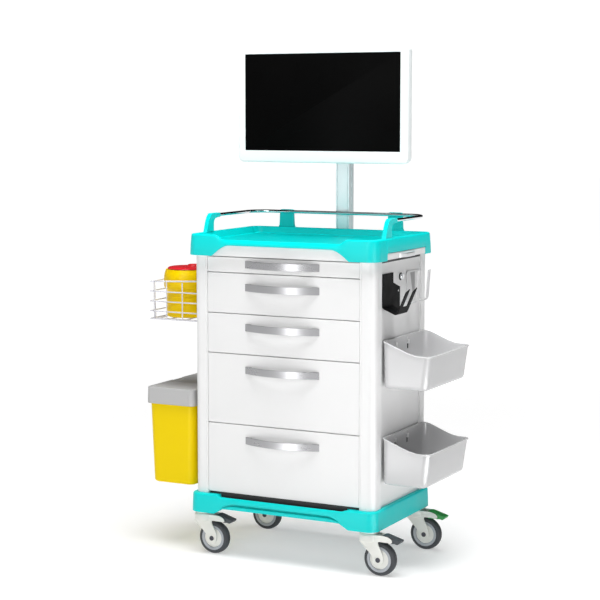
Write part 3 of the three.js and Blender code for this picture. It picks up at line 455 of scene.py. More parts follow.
# Grey that paints the shade between the hooks
HOOK_SHADE = surface("hook_painted_shade", (150, 150, 151), 0.45, mottle=0.02)
PULL = surface(
    "shelf_pull_metal", (226, 227, 228), 0.34, 0.35, grain=1500, bump=0.04, mottle=0.02, spread=0.02,
)
YELLOW = surface(
    "yellow_moulding", (246, 214, 0), 0.3, bump=0.02, mottle=0.01, spread=0.01, specular=0.1,
)
SHARPS_YELLOW = surface(
    "sharps_moulding", (240, 202, 0), 0.3, bump=0.02, mottle=0.02, spread=0.01, specular=0.12,
)
RED = surface("red_moulding", (206, 36, 44), 0.3, bump=0.04, coat=0.2)
GREY = surface("grey_moulding", (184, 184, 184), 0.5, bump=0.07, mottle=0.03)
BIN = surface("bin_moulding", (211, 211, 212), 0.24, grain=1000, bump=0.015, mottle=0.01, spread=0.01)
BLACK = surface("black_moulding", (9, 9, 10), 0.6, bump=0.1, mottle=0.1, specular=0.12)
AXLE_CAP = surface("axle_cap_moulding", (62, 63, 72), 0.45, bump=0.08, mottle=0.05)
# Near black: the colour of real dark parts, and also painted shade where dark pieces stand for shadow
DARK_PARTS_AND_PAINTED_SHADE = surface("dark_parts_and_painted_shade", (26, 27, 28), 0.6, grain=600, bump=0.1, mottle=0.1)
SCREEN = surface(
    "screen_glass", (1, 1, 1), 0.3, grain=60, bump=0.002, mottle=0.1, spread=0.05, specular=0.01,
)


# ------------------------------------------------------------------ camera, light, floor

# The camera stands to the cart's front right, a little above the worktop, looking down
# slightly; its place is from the cart's centre on the floor.
CAMERA_PLACE = Vector((2331.6, -4600.6, 1359.5)) * MM + CENTRE
CAMERA_AZIMUTH = math.radians(27.26)
CAMERA_PITCH = math.radians(6.38)
CAMERA_LENS = 101.45

FLOOR_GLOW_NEAR = 0.42
FLOOR_GLOW_FAR = 1.0
FRONT_LIGHT = 0.41
BACK_LIGHT = 0.05
CEILING_LIGHT = 0.03
KEY_POWER = 51
TOP_POWER = 290
STRIP_POWER = 30
PATH_POWER = 16
CORNER_POWER = 34
LOW_POWER = 26


def make_camera():
    data = bpy.data.cameras.new("camera")
    data.lens = CAMERA_LENS
    data.sensor_width = 36
    data.clip_end = 60
    camera = bpy.data.objects.new("camera", data)
    bpy.context.scene.collection.objects.link(camera)
    back = Vector((
        math.sin(CAMERA_AZIMUTH) * math.cos(CAMERA_PITCH),
        -math.cos(CAMERA_AZIMUTH) * math.cos(CAMERA_PITCH),
        math.sin(CAMERA_PITCH),
    ))
    camera.location = CAMERA_PLACE
    camera.rotation_euler = back.to_track_quat("Z", "Y").to_euler()
    bpy.context.scene.camera = camera


def make_light(name, place, width, height, power, aim=(0, 0, 0.75), reflections_only=False):
    data = bpy.data.lights.new(name, "AREA")
    data.shape = "RECTANGLE"
    data.size = width
    data.size_y = height
    data.energy = power
    light = bpy.data.objects.new(name, data)
    bpy.context.scene.collection.objects.link(light)
    light.location = place
    light.rotation_euler = (Vector(aim) - Vector(place)).to_track_quat("-Z", "Y").to_euler()
    if reflections_only:
        light.visible_diffuse = False
        light.visible_camera = False
    return light


def make_floor():
    """A seamless pale floor. It glows faintly, and more so away from the cart, as an
    overlit studio sweep does, so that it ends in plain white."""
    reach = 30.0
    corners = [(-reach, -reach, 0), (reach, -reach, 0), (reach, reach, 0), (-reach, reach, 0)]
    mesh = bpy.data.meshes.new("floor")
    mesh.from_pydata(corners, [], [[0, 1, 2, 3]])
    floor = bpy.data.objects.new("floor", mesh)
    bpy.context.scene.collection.objects.link(floor)
    paint = surface("pale_floor", (208, 208, 208), 0.8, grain=200, bump=0.01, mottle=0.002)
    tree = paint.node_tree
    shader = tree.nodes["Principled BSDF"]
    shader.inputs["Emission Color"].default_value = (1, 1, 1, 1)
    shader.inputs["Specular IOR Level"].default_value = 0.1
    place = tree.nodes.new("ShaderNodeTexCoord")
    distance = tree.nodes.new("ShaderNodeVectorMath")
    distance.operation = "LENGTH"
    tree.links.new(place.outputs["Object"], distance.inputs[0])
    glow = map_range(
        tree, distance.outputs["Value"], 0.8, 6.0, FLOOR_GLOW_NEAR, FLOOR_GLOW_FAR, smooth=True,
    )
    tree.links.new(glow, shader.inputs["Emission Strength"])
    mesh.materials.append(paint)


def make_world():
    """White behind the cart, soft light round the horizon and a dark ceiling, so that
    polished metal shows dark and bright lines."""
    world = bpy.data.worlds.new("studio")
    world.use_nodes = True
    tree = world.node_tree
    nodes, links = tree.nodes, tree.links
    place = nodes.new("ShaderNodeTexCoord").outputs["Generated"]
    facing = nodes.new("ShaderNodeVectorMath")
    facing.operation = "DOT_PRODUCT"
    facing.inputs[1].default_value = Vector((-0.45, -1.0, 0.0)).normalized()
    links.new(place, facing.inputs[0])
    level = map_range(tree, facing.outputs["Value"], -0.35, 0.85, BACK_LIGHT, FRONT_LIGHT)
    split = nodes.new("ShaderNodeSeparateXYZ")
    links.new(place, split.inputs[0])
    ceiling = map_range(tree, split.outputs["Z"], 0.16, 0.36, 1.0, CEILING_LIGHT, smooth=True)
    dimmed = nodes.new("ShaderNodeMath")
    dimmed.operation = "MULTIPLY"
    links.new(level, dimmed.inputs[0])
    links.new(ceiling, dimmed.inputs[1])
    background = nodes["Background"]
    links.new(dimmed.outputs[0], background.inputs["Strength"])
    white = nodes.new("ShaderNodeBackground")
    white.inputs["Strength"].default_value = 1.1
    for shade in (background, white):
        shade.inputs["Color"].default_value = (1, 1, 1, 1)
    seen = nodes.new("ShaderNodeLightPath")
    mixed = nodes.new("ShaderNodeMixShader")
    links.new(seen.outputs["Is Camera Ray"], mixed.inputs[0])
    links.new(background.outputs[0], mixed.inputs[1])
    links.new(white.outputs[0], mixed.inputs[2])
    links.new(mixed.outputs[0], nodes["World Output"].inputs["Surface"])
    bpy.context.scene.world = world


def make_stage():
    make_floor()
    make_world()
    bpy.context.scene.view_settings.view_transform = "Standard"
    make_light("key", (1.0, -4.9, 3.0), 2.0, 2.0, KEY_POWER)
    top = make_light("top", (0.5, -0.6, 4.6), 3.0, 3.0, TOP_POWER)
    top.visible_glossy = False
    # Four panels seen only in reflections draw the bright patches on the bowed handles
    # and the bright lines on rounded corners
    make_light("strip", (-0.4, -3.3, 1.2), 0.9, 2.6, STRIP_POWER, (0, 0, 0.7), True)
    make_light("path", (-0.24, -2.05, 0.02), 0.5, 2.5, PATH_POWER, (-0.24, -2.05, 1.0), True)
    make_light("corner", (2.9, -1.55, 0.6), 1.0, 1.1, CORNER_POWER, (0, 0, 0.6), True)
    make_light("low", (1.22, -0.54, 0.02), 0.8, 0.8, LOW_POWER, (1.22, -0.54, 1.0), True)


# ------------------------------------------------------------------ base frame


def stem_centre(place):
    stem = span(f"caster_stem_{place}")
    return (stem.x0 + stem.x1) / 2, (stem.y0 + stem.y1) / 2


def make_base():
    s = span("base_frame")
    places = [i * 6.0 for i in range(-44, 45)]
    wall = 12.0
    lip_dip = 5.5

    def ring(inset, height):
        return lifted(inset_loop(s[:4], inset, 33 - min(inset, 24), 12, places), height)

    def at_front(y):
        return y < s.y0 + 32

    def lower_edge(x, y):
        return s.z0 + (17 * unit((228 - abs(x)) / 30) if at_front(y) else 0)

    def raised(offset):
        return lambda x, y: lower_edge(x, y) + offset

    def scoop(x, y):
        """How far the scooped band along the front has opened: 0 at its ends, 1 between."""
        return eased((206 - abs(x)) / 52) if at_front(y) else 0.0

    def band(part, offset=0.0):
        """A level between the lower edge, 0, and the lip over the scooped band, 1."""
        return lambda x, y: lower_edge(x, y) + 1.2 + part * (18 * scoop(x, y) + 0.4) + offset

    def lip(drop, offset=0.0):
        """The upper edge, dropping along the front between the corners."""
        return lambda x, y: (
            s.z1 - (drop * smooth_step((222 - abs(x)) / 18) if at_front(y) else 0) - offset
        )

    def halfway(x, y):
        return (band(1.0)(x, y) + lip(lip_dip)(x, y)) / 2

    def scooped(inset, height, depth=11.0):
        return [(x, y + depth * scoop(x, y), z) for x, y, z in ring(inset, height)]

    rings = [
        scooped(wall + 14, 172),
        scooped(wall + 1, 171.4),
        scooped(wall, 169),
        scooped(wall, raised(1.6)),
        scooped(wall - 1.2, raised(0.3)),
        scooped(wall - 3, raised(0)),
        scooped(2.2, raised(0), 3),
        scooped(0.7, raised(0.5), 3),
        scooped(0, raised(1.1), 3),
        scooped(0, band(0.50), 3),
        scooped(0, band(0.56), 4),
        scooped(0, band(0.60), 14),
        scooped(0, band(0.96), 14),
        scooped(0, band(0.98), 1),
        ring(0.3, band(1.0, 0.4)),
        ring(0.2, band(1.0, 2.0)),
        ring(0.9, halfway),
        ring(2.2, lip(lip_dip, 5)),
        ring(2.9, lip(lip_dip, 2.4)),
        ring(4.3, lip(lip_dip, 0.8)),
        ring(6.5, lip(lip_dip)),
        ring(7.6, lip(13)),
        ring(8.4, lip(18)),
        ring(26, lip(18)),
        ring(27, s.z1),
        ring(30, s.z1),
    ]
    piece("base_moulding", loft(rings), "cart", TURQUOISE, ["base_frame"], sharp=50)
    # Painted shadow: dark blocks on the trough floor, up its back wall and on the ledge under the lowest
    # drawer
    trough_shadow = joined(
        block(-214, 214, s.y0 + 8.8, s.y0 + 25.8, s.z1 - 17.8, s.z1 - 16),
        block(-214, 214, s.y0 + 24.6, s.y0 + 25.8, s.z1 - 17, s.z1 + 0.3),
        block(-254, 254, s.y0 + 26, s.y0 + 32, s.z1 + 0.1, s.z1 + 6.6),
    )
    piece("base_trough_painted_shadow", trough_shadow, "cart", DARK_PARTS_AND_PAINTED_SHADE)
    for place in CORNERS:
        boss = disc((*stem_centre(place), 0), "z", 28, 134, 172, 2, 8.6)
        piece(f"base_boss_{place}", boss, "cart", GREY)


def make_underplate():
    """Grey plate that closes the base frame's underside between the casters."""
    plate = prism(loop(-303, 303, -199, 199, 20, 8), "z", 166, 171)
    piece("base_underplate", plate, "cart", GREY, bevel=1.0)


# ------------------------------------------------------------------ worktop


def make_tray():
    s = span("top_tray")
    slot_half, slot_y, slot_top = 140.5, 4.0, 948.0
    floor = 968.0
    arch_half = 229.0
    rim, front_rim = 23.0, 13.0
    room = (s.x0 + rim, s.x1 - rim, s.y0 + front_rim, s.y1 - rim)
    front_places = sorted({i * 6.0 for i in range(-44, 45)} | {-arch_half, arch_half})
    side_places = [slot_y + d for d in (-slot_half - 0.4, -slot_half, slot_half, slot_half + 0.4)]
    side_places += [slot_y + i * 20.0 for i in range(-6, 7)]

    def ring(inset, height, box=s[:4], radius=36, less=30):
        radius -= min(inset, less)
        return lifted(inset_loop(box, inset, radius, 12, front_places, side_places), height)

    def recess(grow, height):
        return ring(grow, height, room, 26, 20)

    def at_front(y):
        return y < s.y0 + 30

    def lower_edge(x, y):
        if at_front(y) and abs(x) < arch_half:
            return s.z0 + 33 * eased((arch_half - abs(x)) / 62)
        if x > s.x1 - 30 and abs(y - slot_y) <= slot_half + 0.05:
            return slot_top
        return s.z0

    def upper_edge(x, y):
        return s.z1 - (14 * smooth_step((222 - abs(x)) / 28) if at_front(y) else 0)

    def raised(offset):
        return lambda x, y: lower_edge(x, y) + offset

    def lowered(offset):
        return lambda x, y: upper_edge(x, y) - offset

    def halfway(x, y):
        return (lower_edge(x, y) + upper_edge(x, y)) / 2

    rings = [
        ring(24, floor - 4),
        ring(8.5, floor - 4.6),
        ring(7.5, floor - 7),
        ring(5, raised(1.0)),
        ring(4, raised(0.2)),
        ring(1.2, raised(0)),
        ring(0.3, raised(0.7)),
        ring(0, raised(1.8)),
        ring(1.6, halfway),
        ring(4.1, lowered(5.5)),
        ring(4.9, lowered(2.6)),
        ring(6.4, lowered(0.8)),
        ring(8.8, lowered(0)),
        recess(-2.0, lowered(0)),
        recess(-0.7, lowered(0.5)),
        recess(0, lowered(1.6)),
        recess(1.5, floor + 3.2),
        recess(2.4, floor + 1.0),
        recess(4.5, floor),
        recess(8, floor),
    ]
    piece("worktop_moulding", loft(rings), "cart", TURQUOISE, ["top_tray"], sharp=46)
    # Painted shade: the recess floor is a darker turquoise than the rim around it
    sheet = prism(inset_loop(room, 8, 20, 10), "z", floor - 0.6, floor + 0.5)
    piece("worktop_floor", sheet, "cart", WORKTOP_GRAIN_AND_PAINTED_SHADE, bevel=0.4)


# ------------------------------------------------------------------ cabinet


def make_columns():
    # Painted shadow: a dark strip along each side panel just under the worktop's edge
    for side, x in (("left", -298.9), ("right", 298.1)):
        piece(f"panel_top_gap_{side}", block(x, x + 0.8, -145, 145, 918.5, 925.5), "cart", DARK_PARTS_AND_PAINTED_SHADE)
    radius, groove_depth = 25.0, 1.8
    for place, (sx, sy) in CORNERS.items():
        node = f"column_{place}"
        s = span(node)
        outer_x, inner_x = (s.x1, s.x0) if sx > 0 else (s.x0, s.x1)
        outer_y, inner_y = (s.y1, s.y0) if sy > 0 else (s.y0, s.y1)
        middle_x, middle_y = outer_x - sx * radius, outer_y - sy * radius
        outline = [(middle_x + sx * u, middle_y + sy * v) for u, v in arc(0, 0, radius, 0, 90, 16)]
        groove, deep = inner_x + sx * 5.0, outer_y - sy * groove_depth
        outline += [(groove + sx * 0.9, outer_y), (groove + sx * 0.6, deep)]
        outline += [(groove - sx * 0.6, deep), (groove - sx * 0.9, outer_y)]
        outline += [(inner_x, outer_y), (inner_x, inner_y), (outer_x, inner_y)]
        shape = prism(outline, "z", s.z0, s.z1)
        piece(f"corner_{place}", shape, "cart", CABINET, [node], bevel=0.7)


def make_drawer(i):
    body = f"drawer_{i}"
    s = span(body)
    front, back = s.y0, s.y0 + 18
    face = [(0.6, back), (0, back - 0.6), (0, front + 2.2), (0.25, front + 1.2)]
    face += [(0.8, front + 0.45), (1.7, front + 0.08), (2.6, front)]
    elevation = (s.x0, s.x1, s.z0, s.z1)
    rings = [flat(inset_loop(elevation, inset, 2.6, 6), "y", y) for inset, y in face]
    piece(f"drawer_front_{i}", loft(rings), body, DRAWER, [body], sharp=50)

    half, wall, bottom = 236.0, 3.0, 3.0
    height = s.z1 - s.z0
    z0, z1 = s.z0 + 6, s.z1 - (26 if height > 100 else 8)
    sides = [(6, z0), (1.2, z0), (0, z0 + 1.4), (0, z1 - 1), (0.4, z1), (wall - 0.4, z1)]
    sides += [(wall, z1 - 1), (wall, z0 + bottom + 1.6), (wall + 1.2, z0 + bottom), (9, z0 + bottom)]
    plan = (-half, half, back + 0.4, s.y1)
    rings = [flat(inset_loop(plan, inset, 10 - min(inset, 7), 6), "z", z) for inset, z in sides]
    bar_z, bar_half, bar_end = s.z0 + max(18, height * 0.42), 5.0, 254
    bars = [
        block(x0, x1, -138, s.y1 - 10, bar_z - bar_half, bar_z + bar_half)
        for x0, x1 in ((-bar_end, -half + 0.2), (half - 0.2, bar_end))
    ]
    piece(f"drawer_box_{i}", joined(loft(rings), *bars), body, DRAWER, sharp=50)
    make_handle(i)


def make_handle(i):
    """A bowed strip: thin in the middle, with solid ends flush on the drawer front."""
    node = f"drawer_handle_{i}"
    s = span(node)
    half, bow = s.x1, s.y1 - s.y0
    radius = (half**2 + bow**2) / (2 * bow)
    centre = s.y0 + radius
    foot = half - 22

    def angle_to(width):
        return math.degrees(math.asin(width / radius))

    outline = arc(0, centre, radius, -90 - angle_to(half), -90 + angle_to(half), 40) + [(foot, s.y1)]
    outline += arc(0, centre, radius - 3, -90 + angle_to(foot), -90 - angle_to(foot), 34)
    outline += [(-foot, s.y1)]
    shape = prism(outline, "z", s.z0, s.z1)
    piece(f"handle_{i}", shape, f"drawer_{i}", BRUSHED, [node], bevel=0.7)


# ------------------------------------------------------------------ rail and its posts


RAIL_RADIUS = 5.4


def rail_lines():
    """Where the rail's centre line runs: x on the right side, y at the rear, and z."""
    s = span("guard_rail")
    half = (s.z1 - s.z0) / 2
    return s.x1 - half, s.y1 - half, (s.z0 + s.z1) / 2


def make_rail():
    x, rear, z = rail_lines()
    bend = 60.0
    left = [(-x, span("guard_rail").y0, z)]
    left += flat(arc(-x + bend, rear - bend, bend, 180, 90, 20), "z", z)
    right = [(-u, v, w) for u, v, w in reversed(left)]
    tube = sweep(left + [(0, rear, z)] + right, RAIL_RADIUS, 24)
    piece("rail_tube", tube, "cart", CHROME, ["guard_rail"], sharp=60)


def make_fin(place):
    node = f"rail_post_front_{place}"
    s = span(node)
    y, end, low, high = s.y0, s.y1, s.z0, s.z1
    fin = [(y, low)] + bezier((y, low), (y + 9, low + 20), (y + 13, high - 8), (y + 34, high), 16)
    fin += [(end - 5, high)] + bezier((end - 5, high), (end - 1, high), (end, high - 3), (end, high - 7), 5)
    fin += [(end, high - 13)]
    fin += bezier((end, high - 13), (end - 28, high - 14), (y + 43, high - 15), (y + 42, high - 34), 12)
    fin += [(y + 42, low)]
    x, z = (s.x0 + s.x1) / 2, rail_lines()[2]
    bore = sweep([(x, span("guard_rail").y0 - 1, z), (x, 0, z)], RAIL_RADIUS + 0.1, 24)
    piece(
        f"fin_{place}", prism(fin, "x", s.x0, s.x1), "cart", TURQUOISE, [node],
        [bore], bevel=3.4, segments=4,
    )


def make_stanchion(place):
    node = f"rail_post_rear_{place}"
    s = span(node)
    low, high = s.z0, s.z1
    plate = [(s.x0, low)]
    plate += bezier((s.x0, low), (s.x0 + 3, low + 3), (s.x0 + 4, low + 7), (s.x0 + 4, low + 12), 6)
    plate += [(s.x0 + 6, high - 5)] + arc(s.x0 + 11, high - 5, 5, 180, 90, 5)
    plate += [(-u + s.x0 + s.x1, v) for u, v in reversed(plate)]
    rear, z = rail_lines()[1:]
    bore = sweep([(s.x0 - 20, rear, z), (s.x1 + 20, rear, z)], RAIL_RADIUS + 0.1, 24)
    piece(
        f"stanchion_{place}", prism(plate, "y", s.y0, s.y1), "cart", TURQUOISE,
        [node], [bore], bevel=2.0, segments=4,
    )


# ------------------------------------------------------------------ monitor


def make_monitor():
    s = span("monitor_housing")
    front, back = s.y0, 104.0
    window = (-265.5, 265.5, 1236.6, 1535.4)
    elevation = (s.x0, s.x1, s.z0, s.z1)
    opening = [(0, front + 5), (0, front + 0.6), (0.6, front + 0.05), (1.4, front)]
    rings = [flat(inset_loop(window, -grow, 1.2, 14), "y", y) for grow, y in opening]
    shell = [(7, front), (3.4, front + 0.25), (1.4, front + 1.2), (0.3, front + 3), (0, front + 6)]
    shell += [(0, back - 14), (1.5, back - 8), (5, back - 4), (16, back - 1.2), (40, back)]
    rings += [flat(inset_loop(elevation, inset, max(20 - inset, 3), 14), "y", y) for inset, y in shell]
    shape = loft(rings, cap_start=False)
    piece("monitor_shell", shape, "monitor", MONITOR, ["monitor_housing"], sharp=50)
    glass = ((0.5, front + 4.8), (0.5, front + 1.2), (0.9, front + 0.9))
    shape = loft([flat(inset_loop(window, inset, 1.0, 4), "y", y) for inset, y in glass])
    piece("monitor_glass", shape, "monitor", SCREEN, ["monitor_screen"], sharp=50)
    make_monitor_back(back, s.z1)


def make_monitor_back(back, top):
    """Mounting plate, tilt ears, screws and two rows of cooling slots."""
    head = span("monitor_tilt_head")
    y, z = head.y0 + 11, (head.z0 + head.z1) / 2
    mount = [prism(loop(-50, 50, z - 50, z + 50, 8), "y", back - 1, back + 4)]
    ear = loop(back + 1, y + 11, z - 11, z + 11, 10, 10)
    mount += [prism(ear, "x", x0, x1) for x0, x1 in ((-25, -17), (17, 25))]
    piece("monitor_mount_plate", joined(*mount), "monitor", MONITOR, bevel=1.0)
    slots = []
    for row in (top - 48, top - 62):
        for x in range(-11 * 16, 12 * 16, 16):
            slot = loop(x - 5, x + 5, row - 1.6, row + 1.6, 1.5, 5)
            slots.append(prism(slot, "y", back - 1.5, back + 0.15))
    piece("monitor_vents", joined(*slots), "monitor", DARK_PARTS_AND_PAINTED_SHADE)
    heads = [
        disc((sx * 37.5, 0, z + sz * 37.5), "y", 4.2, back + 3.8, back + 6.2, segments=24)
        for sx in (-1, 1) for sz in (-1, 1)
    ]
    piece("monitor_screws", joined(*heads), "monitor", CHROME)


POLE_HALF = 23.0
POLE_DEPTH = 34.0


def make_pole():
    s = span("monitor_pole")
    front, rear = s.y1 - POLE_DEPTH, s.y1
    half, deep, slot = POLE_HALF, 2.4, 1.3
    middle = (front + rear) / 2

    def notch(x, y, depth):
        return [(x - slot, y), (x - slot, y + depth), (x + slot, y + depth), (x + slot, y)]

    outline = [(-half, front)] + notch(-18, front, deep) + notch(18, front, deep)
    outline += [(half, front), (half, middle - slot), (half - deep, middle - slot)]
    outline += [(half - deep, middle + slot), (half, middle + slot), (half, rear)]
    outline += notch(18, rear, -deep)[::-1] + notch(-18, rear, -deep)[::-1]
    outline += [(-half, rear), (-half, middle + slot), (-half + deep, middle + slot)]
    outline += [(-half + deep, middle - slot), (-half, middle - slot)]
    profile = prism(outline, "z", s.z0, s.z1 - 4)
    piece("pole_profile", profile, "cart", ALUMINIUM, ["monitor_pole"], bevel=0.6)
    cap = prism(loop(-half, half, front, rear, 3), "z", s.z1 - 4, s.z1)
    piece("pole_cap", cap, "cart", DARK_PARTS_AND_PAINTED_SHADE, bevel=0.8)
    for name, z in (("lower", 640), ("upper", 860)):
        plate = prism(loop(-62, 62, z - 22, z + 22, 5), "y", s.y0, s.y0 + 5.5)
        arm = block(-18, 18, s.y0 + 5, front, z - 22, z + 22)
        piece(f"pole_bracket_{name}", joined(plate, arm), "cart", ALUMINIUM, bevel=0.9)
        heads = [disc((x, 0, z), "y", 6, s.y0 + 5.4, s.y0 + 9, 1.2, segments=6) for x in (-42, 42)]
        piece(f"pole_bolts_{name}", joined(*heads), "cart", RUNNER, bevel=0.3)


def make_arm():
    s = span("monitor_carriage")
    rear = span("monitor_pole").y1
    z, clear = (s.z0 + s.z1) / 2, 0.6
    reach = POLE_HALF + clear
    room = block(-reach, reach, rear - POLE_DEPTH - clear, rear + clear, s.z0 - 5, s.z1 + 5)
    clamp = prism(loop(-35, 35, 205, s.y1, 8), "z", s.z0, s.z1)
    piece(
        "carriage_clamp", clamp, "monitor_carriage", MONITOR, ["monitor_carriage"],
        [room], bevel=2.0, segments=4,
    )
    eye, eye_radius = s.y0 + 19, 19
    outline = arc(0, eye, eye_radius, 180, 360, 20) + [(17, 210), (-17, 210)]
    piece("carriage_arm", prism(outline, "z", z - 22, z - 12), "monitor_carriage", MONITOR, bevel=1.6)
    knob = disc((35, s.y1 - 30, z), "x", 13, 0, 16, 3)
    piece("carriage_knob", knob, "monitor_carriage", DARK_PARTS_AND_PAINTED_SHADE)
    head = span("monitor_tilt_head")
    tilt = (0, head.y0 + 11, z)
    hub = disc((0, eye, 0), "z", eye_radius, head.z0, head.z1, 1.6)
    neck = block(-13, 13, tilt[1], eye - 4, z - 11, z + 11)
    nose = disc(tilt, "x", 11, -13, 13, 0.8)
    pin = disc(tilt, "x", 5, head.x0, head.x1, 0.8, segments=32)
    shape = joined(hub, neck, nose, pin)
    piece("tilt_head", shape, "monitor_tilt_head", MONITOR, ["monitor_tilt_head"])


# ------------------------------------------------------------------ casters

# Places on a caster are from the swivel's centre, with the wheel trailing towards +x
AXLE_X, AXLE_Z = 35.0, 50.0
PIVOT_X, PIVOT_Z = 56.0, 114.0


def make_caster(place):
    x, y = stem_centre(place)
    fixed = [(0, 106), (6.2, 106), (7, 106.8), (7, 127.5), (29, 127.5), (30, 128.3), (30, 131.8)]
    fixed += [(29, 132.6), (8, 132.6), (8, 166), (0, 166)]
    piece(
        f"swivel_stem_{place}", turned(fixed, (x, y, 0), segments=40), "cart", CREAM,
        [f"caster_stem_{place}"], sharp=30,
    )
    make_fork(place, x, y)
    make_wheel(place, (x + AXLE_X, y, AXLE_Z))
    make_pedal(place, x, y)


def make_fork(place, x, y):
    head = [(7.4, 102.2), (27, 102.2), (30.5, 103), (32, 105.6), (32, 119), (31.2, 123)]
    head += [(28.4, 126), (24, 127), (7.4, 127), (7.4, 102.2)]
    end_radius = 17.0
    behind = AXLE_X - end_radius
    leg = [(-25, 124), (-25.5, 103)]
    leg += bezier((-25.5, 103), (-24, 99), (-16, 94), (-4.5, 81), 8)
    leg += bezier((-4.5, 81), (5, 71), (behind, 62), (behind, AXLE_Z), 8)
    leg += arc(AXLE_X, AXLE_Z, end_radius, 180, 360, 20)[1:]
    leg += bezier((52, 50), (52, 66), (46, 76), (38.5, 90), 8)
    leg += bezier((38.5, 90), (34, 98), (31, 105), (40, 105.2), 8) + [(66, 105)]
    leg += bezier((66, 105), (71, 104), (75, 102), (79, 107), 6)
    leg += bezier((79, 107), (81, 113), (74, 121), (52, 123.6), 10)
    leg = [(u + x, v) for u, v in leg]
    inner, outer, axle = 17, 21, (x + AXLE_X, y, AXLE_Z)
    shapes = [prism(leg, "y", y - outer, y - inner), prism(leg, "y", y + inner, y + outer)]
    shapes.append(turned(head, (x, y, 0), segments=56))
    shapes.append(disc(axle, "y", 5, -17.4, 17.4, 0.4, segments=24))
    shapes.append(disc((x + PIVOT_X, y, PIVOT_Z), "y", 2.5, -17.4, 17.4, 0.3, segments=16))
    body = f"caster_{place}"
    fork = joined(*shapes)
    piece(f"swivel_fork_{place}", fork, body, CREAM, [f"caster_fork_{place}"], bevel=1.1)
    cap = [(0, 20.6), (7.5, 20.6), (7.5, 21.8), (6.6, 22.9), (4.4, 23.2), (3.6, 22.4), (0, 22.4)]
    caps = [turned([(r, side * h) for r, h in cap], axle, "y", 32) for side in (-1, 1)]
    piece(f"axle_caps_{place}", joined(*caps), body, AXLE_CAP)


def make_wheel(place, centre):
    wheel = f"wheel_{place}"
    tread = [(38.6, -13.2), (43.4, -13.2), (44.6, -13.4), (47.6, -11.6), (49.3, -8.2), (50, -4)]
    tread += [(50, 4), (49.3, 8.2), (47.6, 11.6), (44.6, 13.4), (43.4, 13.2), (38.6, 13.2), (38.6, -13.2)]
    tyre = turned(tread, centre, "y", 72)
    piece(f"tyre_{place}", tyre, wheel, TYRE, [f"caster_wheel_{place}"], sharp=34)
    rim = [(29.6, -11.4), (30.4, -13), (37.8, -14), (39, -12.6), (39, 12.6), (37.8, 14), (30.4, 13)]
    rim += [(29.6, 11.4), (29.6, -11.4)]
    piece(f"wheel_ring_{place}", turned(rim, centre, "y", 64), wheel, RING, sharp=34)
    hub = [(5.4, -15.8), (13, -15.8), (14.6, -14.6), (20, -12.4), (29.7, -10.4), (29.7, 10.4)]
    hub += [(20, 12.4), (14.6, 14.6), (13, 15.8), (5.4, 15.8), (5.4, -15.8)]
    piece(f"wheel_hub_{place}", turned(hub, centre, "y", 56), wheel, CREAM, sharp=34)


def make_pedal(place, x, y):
    top, toe = (54, 125.3), (97, 113)
    lever = [(41, 112), (41, 117)] + bezier((41, 117), (41.5, 121.5), (45, 125.5), top, 7) + [toe]
    lever += bezier(toe, (101, 112), (103.5, 112), (103, 109.5), 5)
    lever += bezier((103, 109.5), (101, 105), (98, 101.5), (93, 101), 5)
    lever += [(85, 102.8), (78, 102), (56, 102), (48, 101.4), (44.6, 106)]
    pad = prism([(u + x, v) for u, v in lever], "y", y - 15.3, y + 15.3)
    bore = disc((x + PIVOT_X, y, PIVOT_Z), "y", 2.85, -20, 20, 0.2, segments=24)
    body, green = f"pedal_{place}", place == "rear_right"
    paint, slot = (GREEN, "pedal_green") if green else (PEDAL, "pedal_grey")
    piece(f"pedal_pad_{place}", pad, body, paint, [f"brake_pedal_{place}"], [bore], bevel=0.9)
    ribs = []
    slope = (toe[1] - top[1]) / (toe[0] - top[0])
    for k in range(7):
        u = 60 + k * 5.4
        v = top[1] + (u - top[0]) * slope
        rib = [(x + u - 1, v - 1), (x + u - 0.7, v + 0.8), (x + u + 0.7, v + 0.45), (x + u + 1, v - 1.4)]
        ribs.append(prism(rib, "y", y - 12.5, y + 12.5))
    piece(f"pedal_ribs_{place}", joined(*ribs), body, paint)


# ------------------------------------------------------------------ side shelf


def make_side_shelf():
    s = span("side_shelf")
    middle = (s.y0 + s.y1) / 2
    board = prism(loop(60, 311.5, middle - 138, middle + 138, 3, 5), "z", s.z0 + 1, s.z0 + 11)
    front = prism(loop(s.y0, s.y1, s.z0, s.z1, 1.6, 5), "x", s.x1 - 6, s.x1)
    shape = joined(board, front)
    piece("side_shelf_board", shape, "side_shelf", DRAWER, ["side_shelf"], bevel=0.8)

    h = span("side_shelf_handle")
    x0, x1, half = h.x0, h.x1, (h.y1 - h.y0) / 2
    thin = x1 - 3.2
    outer = [(x0, -half)] + bezier((x0, -half), (x0 + 2, -half + 1), (x1 - 1, -half + 14), (x1, -26), 12)
    outer += [(x1, 26)] + bezier((x1, 26), (x1 - 1, half - 14), (x0 + 2, half - 1), (x0, half), 12)
    inner = [(x0, half - 8)] + bezier((x0, half - 8), (x1 - 4, half - 16), (thin, 26), (thin, 20), 10)
    inner += bezier((thin, -20), (thin, -26), (x1 - 4, -half + 16), (x0, -half + 8), 10)
    centre = (h.y0 + h.y1) / 2
    outer, inner = ([(u, v + centre) for u, v in side] for side in (outer, inner))
    strap = prism(outer + inner, "z", h.z0, h.z1)
    piece("side_shelf_pull", strap, "side_shelf", PULL, ["side_shelf_handle"], bevel=0.5)
    cover = prism(outer, "z", h.z1 - 3, h.z1 + 0.4)
    piece("side_shelf_pull_top", cover, "side_shelf", PULL, bevel=0.5)


# ------------------------------------------------------------------ left side


